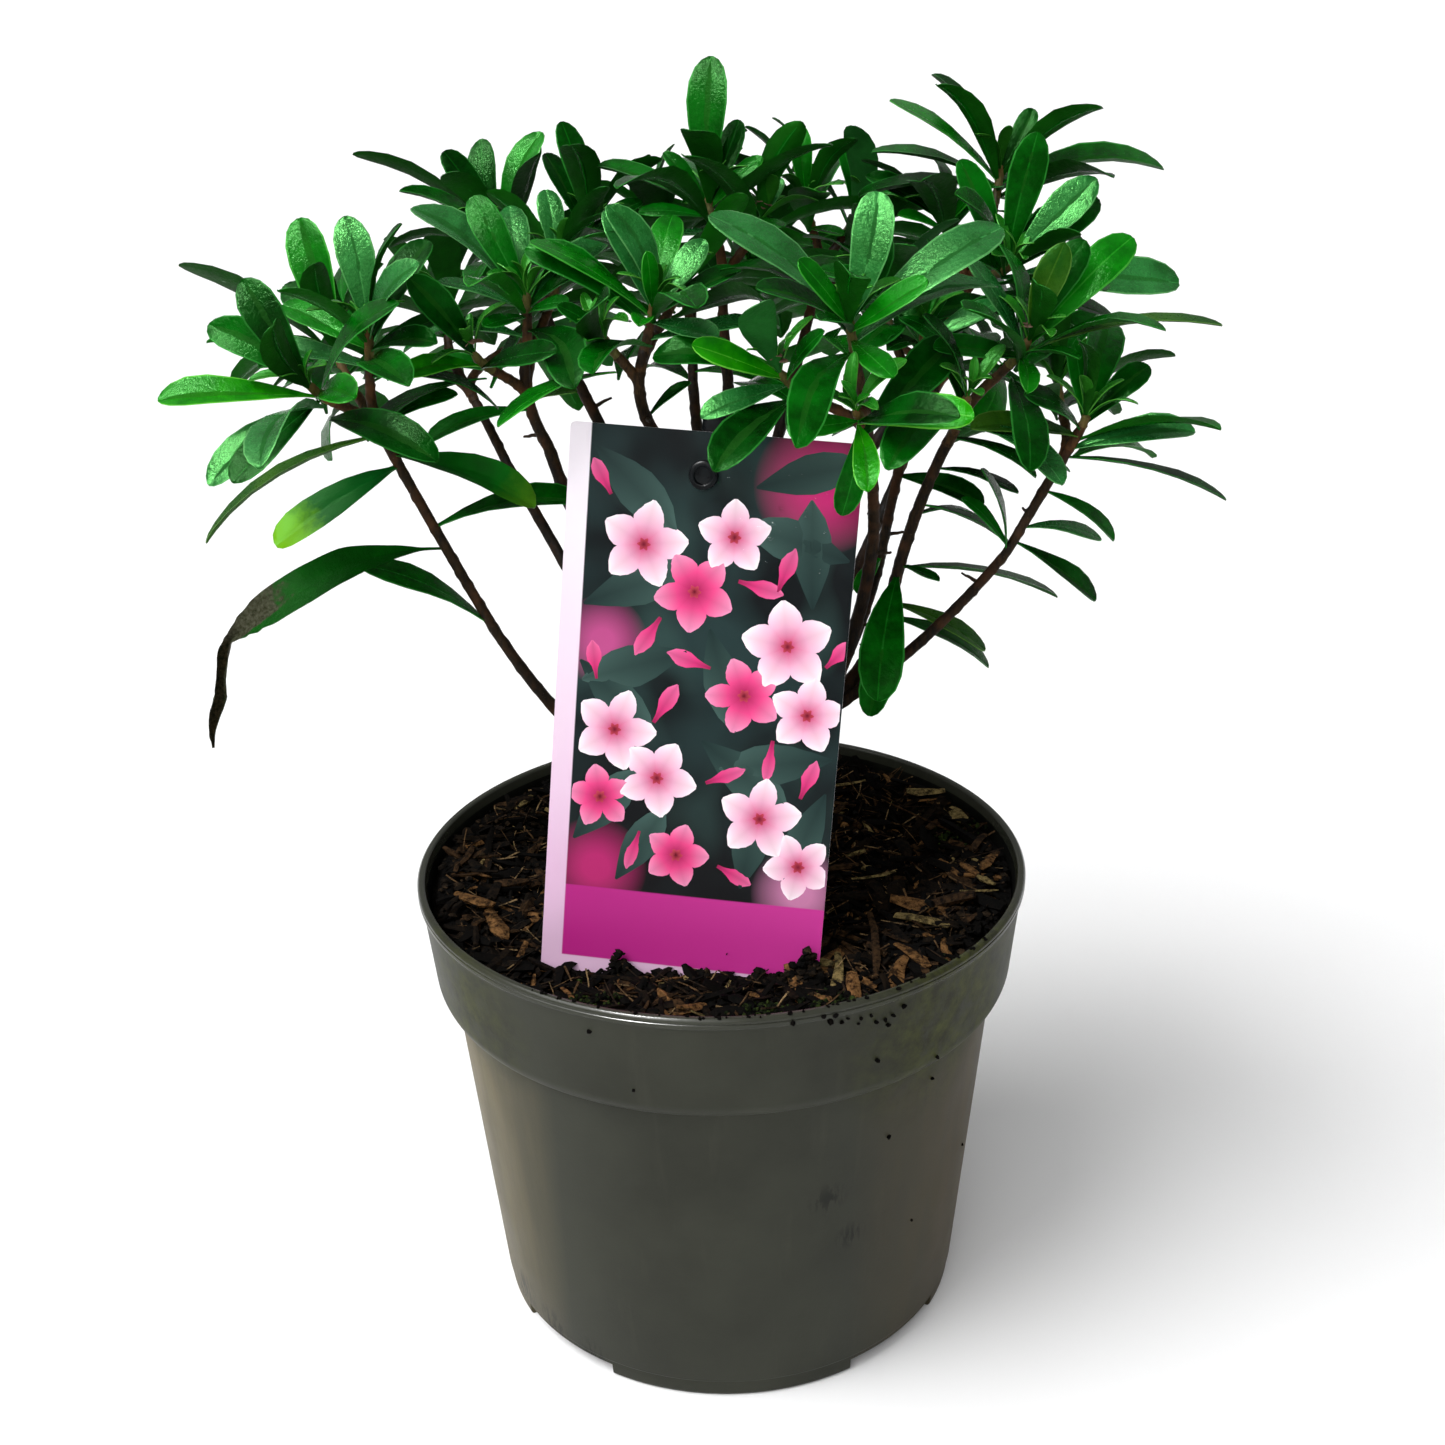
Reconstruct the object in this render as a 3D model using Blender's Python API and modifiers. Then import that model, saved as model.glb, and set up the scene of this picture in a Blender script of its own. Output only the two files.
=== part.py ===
"""Potted daphne: a small evergreen shrub in a 19 cm round nursery pot, with a plant label.

Sizes and places are in millimetres and are turned into metres when a mesh is made.
The origin is the centre of the pot's flat underside, +Z is up, and -Y is the label's side.
"""
import math
import random

import bmesh
import bpy
import numpy as np
from mathutils import Vector
from mathutils.bvhtree import BVHTree

MM = 0.001
GAP = 0.3                 # clearance between neighbouring pieces
WELD = 0.00001            # metres, for welding a tube's caps
FINE_WELD = 0.000001      # metres, for the corners of a union

# Pot, a round 3 litre container
POT_HEIGHT = 150.0
RIM_RADIUS = 95.0
LIP_HEIGHT = 3.6
COLLAR_HEIGHT = 35.0
COLLAR_BOTTOM_RADIUS = 91.2
BODY_TOP_RADIUS = 86.2
BASE_RADIUS = 75.6
RING_HEIGHT = 6.0         # the fine ring round the foot of the body
WALL = 1.8
POT_STEPS = 48
SLOT_COUNT = 4            # drain slots in the edge of the base
SLOT_LENGTH = 40.0
SLOT_HEIGHT = 4.6
SLOT_DEPTH = 5.0

# Soil
SOIL_LEVEL = 140.5
SOIL_MOUND = 2.2          # rise round the foot of the trunk
SOIL_FRONT_RISE = 5.0     # rise against the front of the rim

# Label: a card on a black peg
CARD_WIDTH = 81.0
CARD_HEIGHT = 158.0
CARD_THICK = 0.8
CARD_FOOT = (-13.3, -56.0, 138.4)
CARD_LEAN = 12.0          # degrees, leaning back
CARD_TURN = -7.0          # degrees, its right side nearer the front
CARD_ROLL = 3.9           # degrees, clockwise seen from the front
STUD_PLACE = (-2.5, 146.4)
STUD_RADIUS = 4.0
STUD_HEIGHT = 3.4
SHANK_RADIUS = 1.6
STUD_NECK = 0.5           # of the shank, sunk into the peg and the stud
PEG_OFFSET = 1.6          # the peg's middle, right of the stud's
PEG_POINT = 0.4           # width of the peg's lower end, of its width
CARD_SUNK = 20.0          # half height of the cutter for the card's slot
PEG_WIDTH = 7.0
PEG_THICK = 2.4
PEG_TOP = 5.0             # above the card's top edge
PEG_DEPTH = 52.0          # below the card's foot

# Trunk: foot and fork as (x, y, z), and its radius at heights above the soil
TRUNK_FOOT = (-3.0, 8.0)
TRUNK_FORK = (-1.0, 6.0, 176.0)
TRUNK_RADII = ((0.0, 10.0), (0.10, 7.6), (0.28, 6.4), (0.6, 5.8), (0.9, 5.2), (1.0, 4.2))
LIMB_SIDES = 1            # bevel resolution of trunk and boughs, 6 sides round
BOUGH_STEPS = 7

# Boughs: what each grows from and how far along it, a point it passes, its tip, and the
# radius at its foot and tip
BOUGHS = {
    "bough_left": ("trunk", 0.45, (-51, -5, 206), (-63, -7, 226), 2.3, 1.6),
    "bough_centre": ("trunk", 0.90, (-5, 4, 197), (-8, 2, 220), 3.8, 3.2),
    "bough_right": ("trunk", 0.55, (20, 4, 182), (37, 3, 203), 4.0, 3.4),
    "bough_back": ("trunk", 0.75, (2, 16, 192), (2, 26, 214), 3.8, 3.2),
    "bough_low_back_left": ("trunk", 0.40, (-34, 38, 206), (-66, 66, 258), 2.4, 1.6),
    "bough_low_back_right": ("trunk", 0.35, (34, 40, 206), (62, 70, 256), 2.4, 1.6),
    "bough_centre_left": ("bough_centre", 0.75, (-32, 5, 242), (-47, 7, 279), 2.4, 1.8),
    "bough_middle": ("bough_centre", 0.95, (-11, -2, 250), (-16, -6, 286), 2.3, 1.8),
    "bough_front": ("bough_right", 0.80, (43, -1, 232), (46, -4, 252), 2.3, 1.8),
    "bough_right_stem": ("bough_right", 0.95, (46, 5, 214), (51, 6, 225), 2.5, 2.0),
    "bough_inner_right": ("bough_right", 0.60, (41, 13, 214), (50, 17, 240), 2.1, 1.6),
    "bough_far_right": ("bough_right", 0.85, (66, -5, 228), (83, -8, 249), 1.9, 1.4),
    "bough_upper_right": ("bough_back", 0.85, (34, 30, 252), (62, 35, 290), 2.5, 1.7),
    "bough_top": ("bough_back", 0.95, (4, 27, 258), (5, 28, 292), 2.4, 1.7),
    "bough_back_left": ("bough_back", 0.60, (-22, 34, 252), (-40, 43, 290), 2.4, 1.7),
    "bough_back_right": ("bough_back", 0.80, (17, 48, 258), (26, 60, 288), 2.4, 1.7),
    "bough_far_back": ("bough_back", 0.70, (-3, 58, 246), (-6, 82, 280), 2.4, 1.7),
}

# Masses of foliage. stem: a point it passes and its end, growing on from the bough's tip.
# shoots: how far along the stem each starts, its tip, how many leaves the spiral gives it,
# and its leaves that stand out, as (bearing, rise, length) in degrees and millimetres.
# low_leaves: how far along the stem, then bearing, rise and length.
# A last value, where a leaf has one more, is how far it turns to the light.
MASSES = {
    "foliage_left": {
        "bough": "bough_left", "stem": ((-82, -10, 267), (-93, -12, 293)),
        "shoots": (
            (1.00, (-92, -18, 321), 6, ((124, 76, 30), (319, 43, 29),
                                        (41, 45, 30), (325, -2, 25), (25, 4, 20), (154, 10, 28))),
            (0.96, (-108, 15, 309), 6, ((177, 30, 49, 0.0), (197, 8, 36, 0.3),
                                        (131, 70, 38, 0.8), (237, 2, 30), (283, -9, 26),
                                        (113, 58, 29, -0.3))),
            (0.98, (-107, -30, 310), 6, ((189, -3, 39, 0.25), (159, 58, 31),
                                         (304, 3, 30), (204, -40, 38),
                                         (225, -36, 35))),
        ),
        "low_leaves": ((0.97, 191, -26, 58, 0.08), (0.86, 206, -25, 41, 1),
                      (0.24, 190, 38, 43, 0.2), (0.63, 8, 6, 45), (0.90, 346, -15, 43, 0.3),
                      (0.99, 15, 21, 24, 0.7), (0.94, 312, 7, 22, 0.7)),
    },
    "foliage_centre_left": {
        "bough": "bough_centre_left", "stem": ((-53, 8, 297), (-52, 6, 311)),
        "shoots": (
            (0.55, (-66, -5, 312), 4, ((206, 51, 29), (218, -7, 23),
                                       (321, 7, 32, 0.6))),
            (1.00, (-51, 5, 326), 6, ((105, 45, 30), (28, 26, 28),
                                      (162, 36, 40, 0.15), (199, 12, 25, 0.3),
                                      (0, 22, 22, 0.5), (315, -1, 17), (236, -17, 20))),
            (0.60, (-43, 28, 330), 8, ((114, 66, 22), (47, 75, 21))),
        ),
        "low_leaves": ((0.50, 198, -11, 32), (0.55, 326, 18, 18)),
    },
    "foliage_middle": {
        "bough": "bough_middle", "stem": ((-20, -8, 301), (-18, -8, 312)),
        "shoots": (
            (1.00, (-15, -10, 326), 6, ((154, 60, 27), (30, 42, 22),
                                        (170, 26, 37, 0.1), (311, -14, 27),
                                        (267, 54, 17), (19, 15, 26, 0.2),
                                        (260, -8, 20))),
            (0.60, (-29, -12, 317), 6, ((216, 36, 17), (257, 8, 15))),
            (0.80, (-8, 16, 327), 8, ()),
        ),
        "low_leaves": ((0.35, 20, 35, 16),),
    },
    "foliage_top": {
        "bough": "bough_top", "stem": ((4, 34, 312), (4, 40, 326)),
        "shoots": (
            (1.00, (0, 45, 346), 8, ((74, 81, 39), (39, 58, 24), (163, 13, 35, 0.3), (162, 44, 18),
                                     (0, 42, 19), (197, -7, 21))),
            (0.80, (16, 50, 339), 8, ((193, -8, 35, 0.3), (259, 46, 12), (33, 54, 13),
                                      (180, 32, 15))),
        ),
        "low_leaves": (),
    },
    "foliage_front": {
        "bough": "bough_front", "stem": ((45, -12, 275), (42, -20, 297)),
        "shoots": (
            (0.80, (18, -30, 311), 5, ((204, 20, 26), (214, -19, 26),
                                       (313, 37, 20), (286, -42, 23))),
            (1.00, (37, -25, 324), 6, ((37, 72, 32), (14, 27, 47, 0.5),
                                       (333, 24, 24), (292, -24, 28),
                                       (167, 34, 45, 0.3), (210, 45, 22),
                                       (194, 32, 29, 0.6), (232, 9, 21))),
            (0.92, (38, -40, 302), 4, ((277, -47, 24), (338, 2, 31, 0.7),
                                       (237, -75, 28), (211, -7, 19))),
        ),
        "low_leaves": (),
    },
    "foliage_inner_right": {
        "bough": "bough_inner_right", "stem": ((54, 16, 263), (60, 13, 291)),
        "shoots": (
            (1.00, (61, 10, 314), 8, ((53, 64, 17), (312, -16, 20),
                                      (231, -11, 18), (15, 11, 23))),
            (0.85, (50, 34, 322), 9, ()),
        ),
        "low_leaves": ((0.20, 240, -30, 18), (0.62, 347, -16, 27, 0.8)),
    },
    "foliage_right": {
        "bough": "bough_right_stem", "stem": ((62, 5, 266), (73, 1, 292)),
        "shoots": (
            (1.00, (88, -10, 314), 6, ((319, 70, 27, 0.7), (16, 59, 29),
                                       (22, 39, 40, 0.5),
                                       (2, 3, 53, -0.12), (261, -23, 24),
                                       (309, -10, 18, 0.2), (154, 48, 27, 0.2),
                                       (200, 0, 29))),
            (0.85, (70, -20, 301), 6, ()),
        ),
        "low_leaves": ((0.36, 255, -41, 43, 1), (0.26, 247, -57, 36, 1), (0.25, 348, -25, 32),
                      (0.20, 0, -27, 36), (0.21, 318, -14, 22), (0.38, 355, -10, 48, -0.15),
                      (0.39, 322, -9, 14), (0.62, 352, -23, 30, -0.1), (0.58, 11, 7, 21, -0.1),
                      (0.88, 347, -20, 27, 0.1), (0.93, 0, -30, 36, 0.1), (0.76, 346, -14, 25, 0.1)),
    },
    "foliage_far_right": {
        "bough": "bough_far_right", "stem": ((94, -10, 270), (101, -10, 283)),
        "shoots": (
            (1.00, (105, -10, 292), 5, ((23, 31, 23), (190, 0, 35, 0.4),
                                        (220, 23, 27), (100, 54, 21))),
            (0.85, (101, 14, 296), 8, ()),
        ),
        "low_leaves": ((0.97, 353, 11, 35, 0.8), (0.92, 352, -13, 47, 0),
                      (0.30, 351, -36, 30), (0.20, 218, 70, 29), (0.24, 155, 46, 20),
                      (0.40, 9, -11, 25), (0.68, 349, -33, 25)),
    },
    "foliage_upper_right": {
        "bough": "bough_upper_right", "stem": ((75, 42, 312), (80, 46, 322)),
        "shoots": (
            (1.00, (89, 60, 351), 7, ((158, 51, 34, 0.25), (177, 30, 39, 0.5), (0, 0, 49, 0.6),
                                      (23, 57, 19), (186, 8, 40, 0.4), (193, 3, 44, 0.3),
                                      (250, -9, 22))),
            (0.85, (88, 30, 327), 7, ((49, 70, 38), (9, 43, 34), (151, 60, 33),
                                      (16, 30, 34, 0.5), (358, -7, 50, 0.3), (219, 19, 20))),
            (0.80, (72, 56, 338), 7, ((169, 37, 26), (331, 52, 13), (208, 5, 17),
                                      (223, 43, 12))),
        ),
        "low_leaves": (),
    },
    "foliage_back_left": {
        "bough": "bough_back_left", "stem": ((-50, 51, 310), (-54, 56, 320)),
        "shoots": (
            (1.00, (-64, 60, 336), 8, ((188, 25, 31, 0.4), (180, 57, 27, 0.6), (126, 69, 27),
                                       (24, 62, 31), (180, 30, 48, -0.35))),
            (0.75, (-36, 65, 335), 9, ((141, 72, 32, 0.8), (143, 51, 27), (21, 21, 18))),
        ),
        "low_leaves": (),
    },
    "foliage_back_right": {
        "bough": "bough_back_right", "stem": ((32, 69, 308), (35, 74, 319)),
        "shoots": (
            (1.00, (31, 75, 339), 8, ((130, 81, 24, 0.4), (158, 58, 30, -0.2),
                                      (255, 19, 15), (306, -23, 19))),
            (0.90, (47, 84, 335), 9, ((125, 70, 22), (0, 22, 19))),
        ),
        "low_leaves": (),
    },
    "foliage_far_back": {
        "bough": "bough_far_back", "stem": ((-6, 92, 297), (-6, 97, 306)),
        "shoots": (
            (1.00, (-24, 106, 321), 14, ((98, 12, 40),)),
            (0.95, (12, 110, 320), 14, ((78, 4, 42),)),
            (0.55, (-14, 84, 332), 12, ()),
        ),
        "low_leaves": ((0.15, 120, 0, 32), (0.30, 330, 0, 28)),
    },
    "foliage_low_back_left": {
        "bough": "bough_low_back_left", "stem": ((-78, 76, 280), (-84, 80, 290)),
        "shoots": (
            (1.00, (-86, 94, 308), 14, ()),
            (0.75, (-110, 62, 300), 14, ()),
            (0.70, (-58, 112, 300), 14, ()),
        ),
        "low_leaves": (),
    },
    "foliage_low_back_right": {
        "bough": "bough_low_back_right", "stem": ((73, 80, 277), (78, 84, 288)),
        "shoots": (
            (1.00, (78, 96, 305), 14, ()),
            (0.75, (98, 66, 298), 13, ()),
            (0.70, (48, 118, 299), 14, ()),
        ),
        "low_leaves": (),
    },
}

# The long leaf on the left stem that has bent, dried and hangs at its end
BENT_LEAF_MASS = "foliage_left"
BENT_LEAF = (0.55, 195, -19.0, 67)
BENT_TIP = (194, -75, 32.5)

# Leaf and shoot rule
GOLDEN = 137.5            # degrees round the shoot from one leaf to the next
LEAF_LENGTH = 42.0
LEAF_WIDTH = 0.32         # of its length
LEAF_THICK = 1.0
LONG_LEAF = 36.0          # past this a leaf has one more section
LEAF_ARCH = 0.07          # rise of its middle, of its length
LOW_TILT = 98.0           # degrees from the shoot's heading, lowest and highest leaf
HIGH_TILT = 24.0
LEAFY_LENGTH = 13.0       # leafy end of a shoot
STAND_DROP = 5.0          # how far below the tip a leaf that stands out at right angles starts
ROOT_WIDTH = 1.5
ROOT_SINK = 0.4           # how far a root passes the twig's axis
TWIG_RADII = (1.5, 1.4)
SUNWARD = np.array([0.0, -1.0, 0.35])    # leaves that stand out turn their upper sides so
LOW_LIGHT = 0.3           # how far a leaf low on the stem does
OUTWARD = 0.4             # how far the other leaves turn theirs away from the plant's middle
STEM_END_RADIUS = 1.5
STRAIGHT_FOOT = 2.0       # a mass's stem runs on straight from its bough for this far
BARE_FOOT = 6.0           # and has no leaves for this far
CLEARANCE = 0.35          # kept round each leaf when its place is tried
ROOT_SHARE = 0.16         # of a leaf, free to run into its own mass
NUDGES = ((0, 0), (7, 0), (-7, 0), (0, 6), (0, -6), (14, 0), (-14, 0), (0, 12), (0, -12),
          (26, 6), (-26, 6), (14, -12), (-14, -12))
REACH = 118.0             # a mass keeps its leaves within this of its middle


def clear_scene():
    for item in list(bpy.data.objects):
        bpy.data.objects.remove(item, do_unlink=True)
    for group in list(bpy.data.collections):
        bpy.data.collections.remove(group)


def collection(name):
    group = bpy.data.collections.new(name)
    bpy.context.scene.collection.children.link(group)
    return group


def material(name, colour, roughness):
    finish = bpy.data.materials.new(name)
    finish.use_nodes = True
    shader = finish.node_tree.nodes["Principled BSDF"]
    shader.inputs["Base Color"].default_value = (*colour, 1.0)
    shader.inputs["Roughness"].default_value = roughness
    shader.inputs["Metallic"].default_value = 0.0
    return finish


def mesh_object(name, points, faces, group):
    """An object from points in millimetres."""
    mesh = bpy.data.meshes.new(name)
    mesh.from_pydata([tuple(c * MM for c in p) for p in points], [], faces)
    item = bpy.data.objects.new(name, mesh)
    group.objects.link(item)
    return item


def frozen(item):
    """Replace an object by the mesh that its modifiers or curve give."""
    name = item.name
    group = item.users_collection[0]
    graph = bpy.context.evaluated_depsgraph_get()
    mesh = bpy.data.meshes.new_from_object(item.evaluated_get(graph))
    whole = bpy.data.objects.new(name + "_mesh", mesh)
    whole.matrix_world = item.matrix_world.copy()
    group.objects.link(whole)
    bpy.data.objects.remove(item, do_unlink=True)
    whole.name = name
    mesh.name = name
    return whole


def tidy(mesh, weld=WELD):
    """Weld what lies together and keep only the largest island."""
    shape = bmesh.new()
    shape.from_mesh(mesh)
    bmesh.ops.remove_doubles(shape, verts=shape.verts, dist=weld)
    bmesh.ops.triangulate(shape, faces=shape.faces)
    shape.faces.ensure_lookup_table()
    left = set(shape.faces)
    islands = []
    while left:
        seed = left.pop()
        island = [seed]
        todo = [seed]
        while todo:
            face = todo.pop()
            for edge in face.edges:
                for other in edge.link_faces:
                    if other in left and len(edge.link_faces) == 2:
                        left.remove(other)
                        island.append(other)
                        todo.append(other)
        islands.append(island)
    islands.sort(key=lambda island: sum(f.calc_area() for f in island))
    for island in islands[:-1]:
        bmesh.ops.delete(shape, geom=island, context="FACES")
    bmesh.ops.delete(shape, geom=[v for v in shape.verts if not v.link_faces], context="VERTS")
    shape.to_mesh(mesh)
    shape.free()


def as_cutter(item, cutters):
    for group in list(item.users_collection):
        group.objects.unlink(item)
    cutters.objects.link(item)
    item.hide_render = True
    item.display_type = "WIRE"
    return item


def boolean(item, tool, operation):
    cut = item.modifiers.new(operation.lower(), "BOOLEAN")
    cut.operation = operation
    cut.object = tool


def turned(name, profile, steps, group):
    """A solid turned from a profile of (radius, height) that runs from axis to axis."""
    mesh = bpy.data.meshes.new(name)
    points = [(r * MM, 0.0, z * MM) for r, z in profile]
    mesh.from_pydata(points, [(i, i + 1) for i in range(len(points) - 1)], [])
    item = bpy.data.objects.new(name, mesh)
    group.objects.link(item)
    screw = item.modifiers.new("turn", "SCREW")
    screw.steps = screw.render_steps = steps
    screw.use_merge_vertices = True
    screw.merge_threshold = 0.0001
    screw.use_smooth_shade = True
    return item


def cylinder(name, radius, length, steps, group):
    mesh = bpy.data.meshes.new(name)
    shape = bmesh.new()
    bmesh.ops.create_cone(shape, cap_ends=True, segments=steps, radius1=radius * MM,
                          radius2=radius * MM, depth=length * MM)
    shape.to_mesh(mesh)
    shape.free()
    item = bpy.data.objects.new(name, mesh)
    group.objects.link(item)
    return item


def box(name, size, centre, group):
    mesh = bpy.data.meshes.new(name)
    shape = bmesh.new()
    bmesh.ops.create_cube(shape, size=1.0)
    for corner in shape.verts:
        corner.co = Vector((c * s + m) * MM for c, s, m in zip(corner.co, size, centre))
    shape.to_mesh(mesh)
    shape.free()
    item = bpy.data.objects.new(name, mesh)
    group.objects.link(item)
    return item


def inner_wall(height):
    """Radius of the pot's inner wall at a height."""
    rising = ((5.0, BASE_RADIUS - WALL + 0.2), (POT_HEIGHT - COLLAR_HEIGHT - 2.0, BODY_TOP_RADIUS - WALL),
              (POT_HEIGHT - COLLAR_HEIGHT + 3.0, COLLAR_BOTTOM_RADIUS - WALL),
              (POT_HEIGHT, RIM_RADIUS - 2.6))
    heights = [h for h, _ in rising]
    radii = [r for _, r in rising]
    return float(np.interp(height, heights, radii))


def make_pot(group, cutters):
    shoulder = POT_HEIGHT - COLLAR_HEIGHT
    lip = POT_HEIGHT - LIP_HEIGHT
    profile = [
        (0.0, 2.0), (inner_wall(5.0) - 3.0, 2.0), (inner_wall(5.0), 5.0),
        (inner_wall(shoulder - 2.0), shoulder - 2.0), (inner_wall(shoulder + 3.0), shoulder + 3.0),
        (inner_wall(POT_HEIGHT), POT_HEIGHT),
        (RIM_RADIUS - 0.6, POT_HEIGHT), (RIM_RADIUS, POT_HEIGHT - 0.8), (RIM_RADIUS, lip + 0.5),
        (RIM_RADIUS - 0.9, lip), (COLLAR_BOTTOM_RADIUS + 0.2, shoulder + 3.2),
        (COLLAR_BOTTOM_RADIUS - 1.0, shoulder + 0.4), (BODY_TOP_RADIUS, shoulder - 1.6),
        (BASE_RADIUS + 0.8, RING_HEIGHT), (BASE_RADIUS, 0.9), (BASE_RADIUS - 0.8, 0.0), (0.0, 0.0),
    ]
    pot = turned("pot", profile, POT_STEPS, group)
    for index in range(SLOT_COUNT):
        bearing = math.radians(45.0 + index * 360.0 / SLOT_COUNT)
        slot = box("slot_cutter_%d" % index, (2 * SLOT_DEPTH, SLOT_LENGTH, 2 * SLOT_HEIGHT),
                   (0.0, 0.0, 0.0), cutters)
        reach = (BASE_RADIUS - SLOT_DEPTH * 0.1) * MM
        slot.location = (reach * math.cos(bearing), reach * math.sin(bearing), 0.0)
        slot.rotation_euler = (0.0, 0.0, bearing)
        as_cutter(slot, cutters)
        boolean(pot, slot, "DIFFERENCE")
    return pot


def soil_height(x, y):
    """Height of the soil: a mound round the trunk and a rise against the front of the rim."""
    mound = SOIL_MOUND * math.exp(-((x - TRUNK_FOOT[0]) ** 2 + (y - TRUNK_FOOT[1]) ** 2) / 1200.0)
    front = min(max((-y - 52.0) / 34.0, 0.0), 1.0)
    side = max(1.0 - (x / 75.0) ** 2, 0.0)
    return SOIL_LEVEL + mound + SOIL_FRONT_RISE * front * front * (3.0 - 2.0 * front) * side


def make_soil(group):
    shoulder = POT_HEIGHT - COLLAR_HEIGHT
    top = [(inner_wall(SOIL_LEVEL) - GAP - 0.1, SOIL_LEVEL)]
    top += [(radius, SOIL_LEVEL) for radius in (78.0, 62.0, 40.0, 18.0, 0.0)]
    side = [(inner_wall(5.0) - 3.3, 2.0 + GAP), (inner_wall(5.0) - GAP, 5.2),
            (inner_wall(shoulder - 2.0) - GAP - 0.1, shoulder - 2.0),
            (inner_wall(shoulder + 3.0) - GAP - 0.1, shoulder + 3.3)]
    profile = top[::-1] + side[::-1] + [(0.0, 2.0 + GAP)]
    soil = frozen(turned("soil", profile, POT_STEPS, group))
    tidy(soil.data)
    for point in soil.data.vertices:
        if point.co.z > (SOIL_LEVEL - 1.0) * MM:
            point.co.z = soil_height(point.co.x / MM, point.co.y / MM) * MM
    return soil


def card_frame(group):
    frame = bpy.data.objects.new("label_frame", None)
    frame.rotation_mode = "YXZ"
    frame.location = tuple(c * MM for c in CARD_FOOT)
    frame.rotation_euler = tuple(math.radians(a) for a in (-CARD_LEAN, CARD_ROLL, CARD_TURN))
    group.objects.link(frame)
    bpy.context.view_layer.update()
    return frame


def make_label(group, cutters, soil):
    """A card with a hole for the stud, and a peg behind it that runs down into the soil."""
    frame = card_frame(group)

    def placed(item):
        item.parent = frame
        return item

    def through(name, radius, length, depth, steps):
        item = placed(cylinder(name, radius, length, steps, cutters))
        item.location = (STUD_PLACE[0] * MM, depth * MM, STUD_PLACE[1] * MM)
        item.rotation_euler = (math.radians(90.0), 0.0, 0.0)
        return as_cutter(item, cutters)

    card = placed(box("label_card", (CARD_WIDTH, CARD_THICK, CARD_HEIGHT),
                      (0.0, 0.0, CARD_HEIGHT / 2), group))
    boolean(card, through("card_hole_cutter", SHANK_RADIUS + GAP, 10.0, 0.0, 16), "DIFFERENCE")
    back = CARD_THICK / 2 + GAP
    length = CARD_HEIGHT + PEG_TOP + PEG_DEPTH
    middle = (STUD_PLACE[0] + PEG_OFFSET, back + PEG_THICK / 2,
              CARD_HEIGHT + PEG_TOP - length / 2)
    peg = placed(box("label_peg", (PEG_WIDTH, PEG_THICK, length), middle, group))
    for corner in peg.data.vertices:
        if corner.co.z < 0.0:
            corner.co.x = middle[0] * MM + (corner.co.x - middle[0] * MM) * PEG_POINT
    shank = 2 * back + 2 * STUD_NECK
    boolean(peg, through("shank", SHANK_RADIUS, shank, 0.0, 16), "UNION")
    boolean(peg, through("stud", STUD_RADIUS, STUD_HEIGHT, -back - STUD_HEIGHT / 2, 24), "UNION")
    slots = {
        "card_slot_cutter": ((CARD_WIDTH, CARD_THICK, 2 * CARD_SUNK), (0.0, 0.0, CARD_SUNK)),
        "peg_slot_cutter": ((PEG_WIDTH, PEG_THICK, 2 * PEG_DEPTH), (*middle[:2], 0.0)),
    }
    for part, (size, centre) in slots.items():
        size = tuple(s + 2 * GAP for s in size)
        boolean(soil, as_cutter(placed(box(part, size, centre, cutters)), cutters), "DIFFERENCE")
    return card, peg


def bowed(start, via, end, steps):
    """Points of the parabola through three points, spaced evenly in its own measure."""
    start, via, end = (np.array(p, float) for p in (start, via, end))
    first = np.linalg.norm(via - start)
    share = first / (first + np.linalg.norm(end - via))
    t = np.linspace(0.0, 1.0, steps)[:, None]
    return (start * (t - share) * (t - 1.0) / share + via * t * (t - 1.0) / (share * (share - 1.0))
            + end * t * (t - share) / (1.0 - share))


def along(path, share):
    """Point and direction a share of the way along a path."""
    reach = share * (len(path) - 1)
    low = min(int(reach), len(path) - 2)
    point = path[low] + (path[low + 1] - path[low]) * (reach - low)
    way = path[low + 1] - path[low]
    return point, way / np.linalg.norm(way)


def tube(name, path, radii, group, extra=0.0):
    """A tapering limb: a curve with one radius a point, made a closed mesh."""
    curve = bpy.data.curves.new(name, "CURVE")
    curve.dimensions = "3D"
    curve.bevel_depth = MM
    curve.bevel_resolution = LIMB_SIDES
    curve.use_fill_caps = True
    line = curve.splines.new("POLY")
    line.points.add(len(path) - 1)
    for point, place, radius in zip(line.points, path, radii):
        point.co = (*(place * MM), 1.0)
        point.radius = radius + extra
    item = bpy.data.objects.new(name, curve)
    group.objects.link(item)
    item = frozen(item)
    tidy(item.data)
    return item


def make_trunk(group):
    """The stump from its flat cut on the soil to its fork, with its root flare."""
    foot = soil_height(*TRUNK_FOOT) + GAP
    start = (*TRUNK_FOOT, foot)
    height = TRUNK_FORK[2] - foot
    path = []
    radii = []
    for share, radius in TRUNK_RADII:
        lean = share * share
        path.append(np.array([start[0] + (TRUNK_FORK[0] - start[0]) * lean,
                              start[1] + (TRUNK_FORK[1] - start[1]) * lean,
                              foot + height * share]))
        radii.append(radius)
    return tube("trunk", path, radii, group), np.array(path), radii


def cut_clear(item, tools):
    """Cut an object by others and keep its largest piece."""
    for tool in tools:
        boolean(item, tool, "DIFFERENCE")
    item = frozen(item)
    tidy(item.data)
    return item


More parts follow.
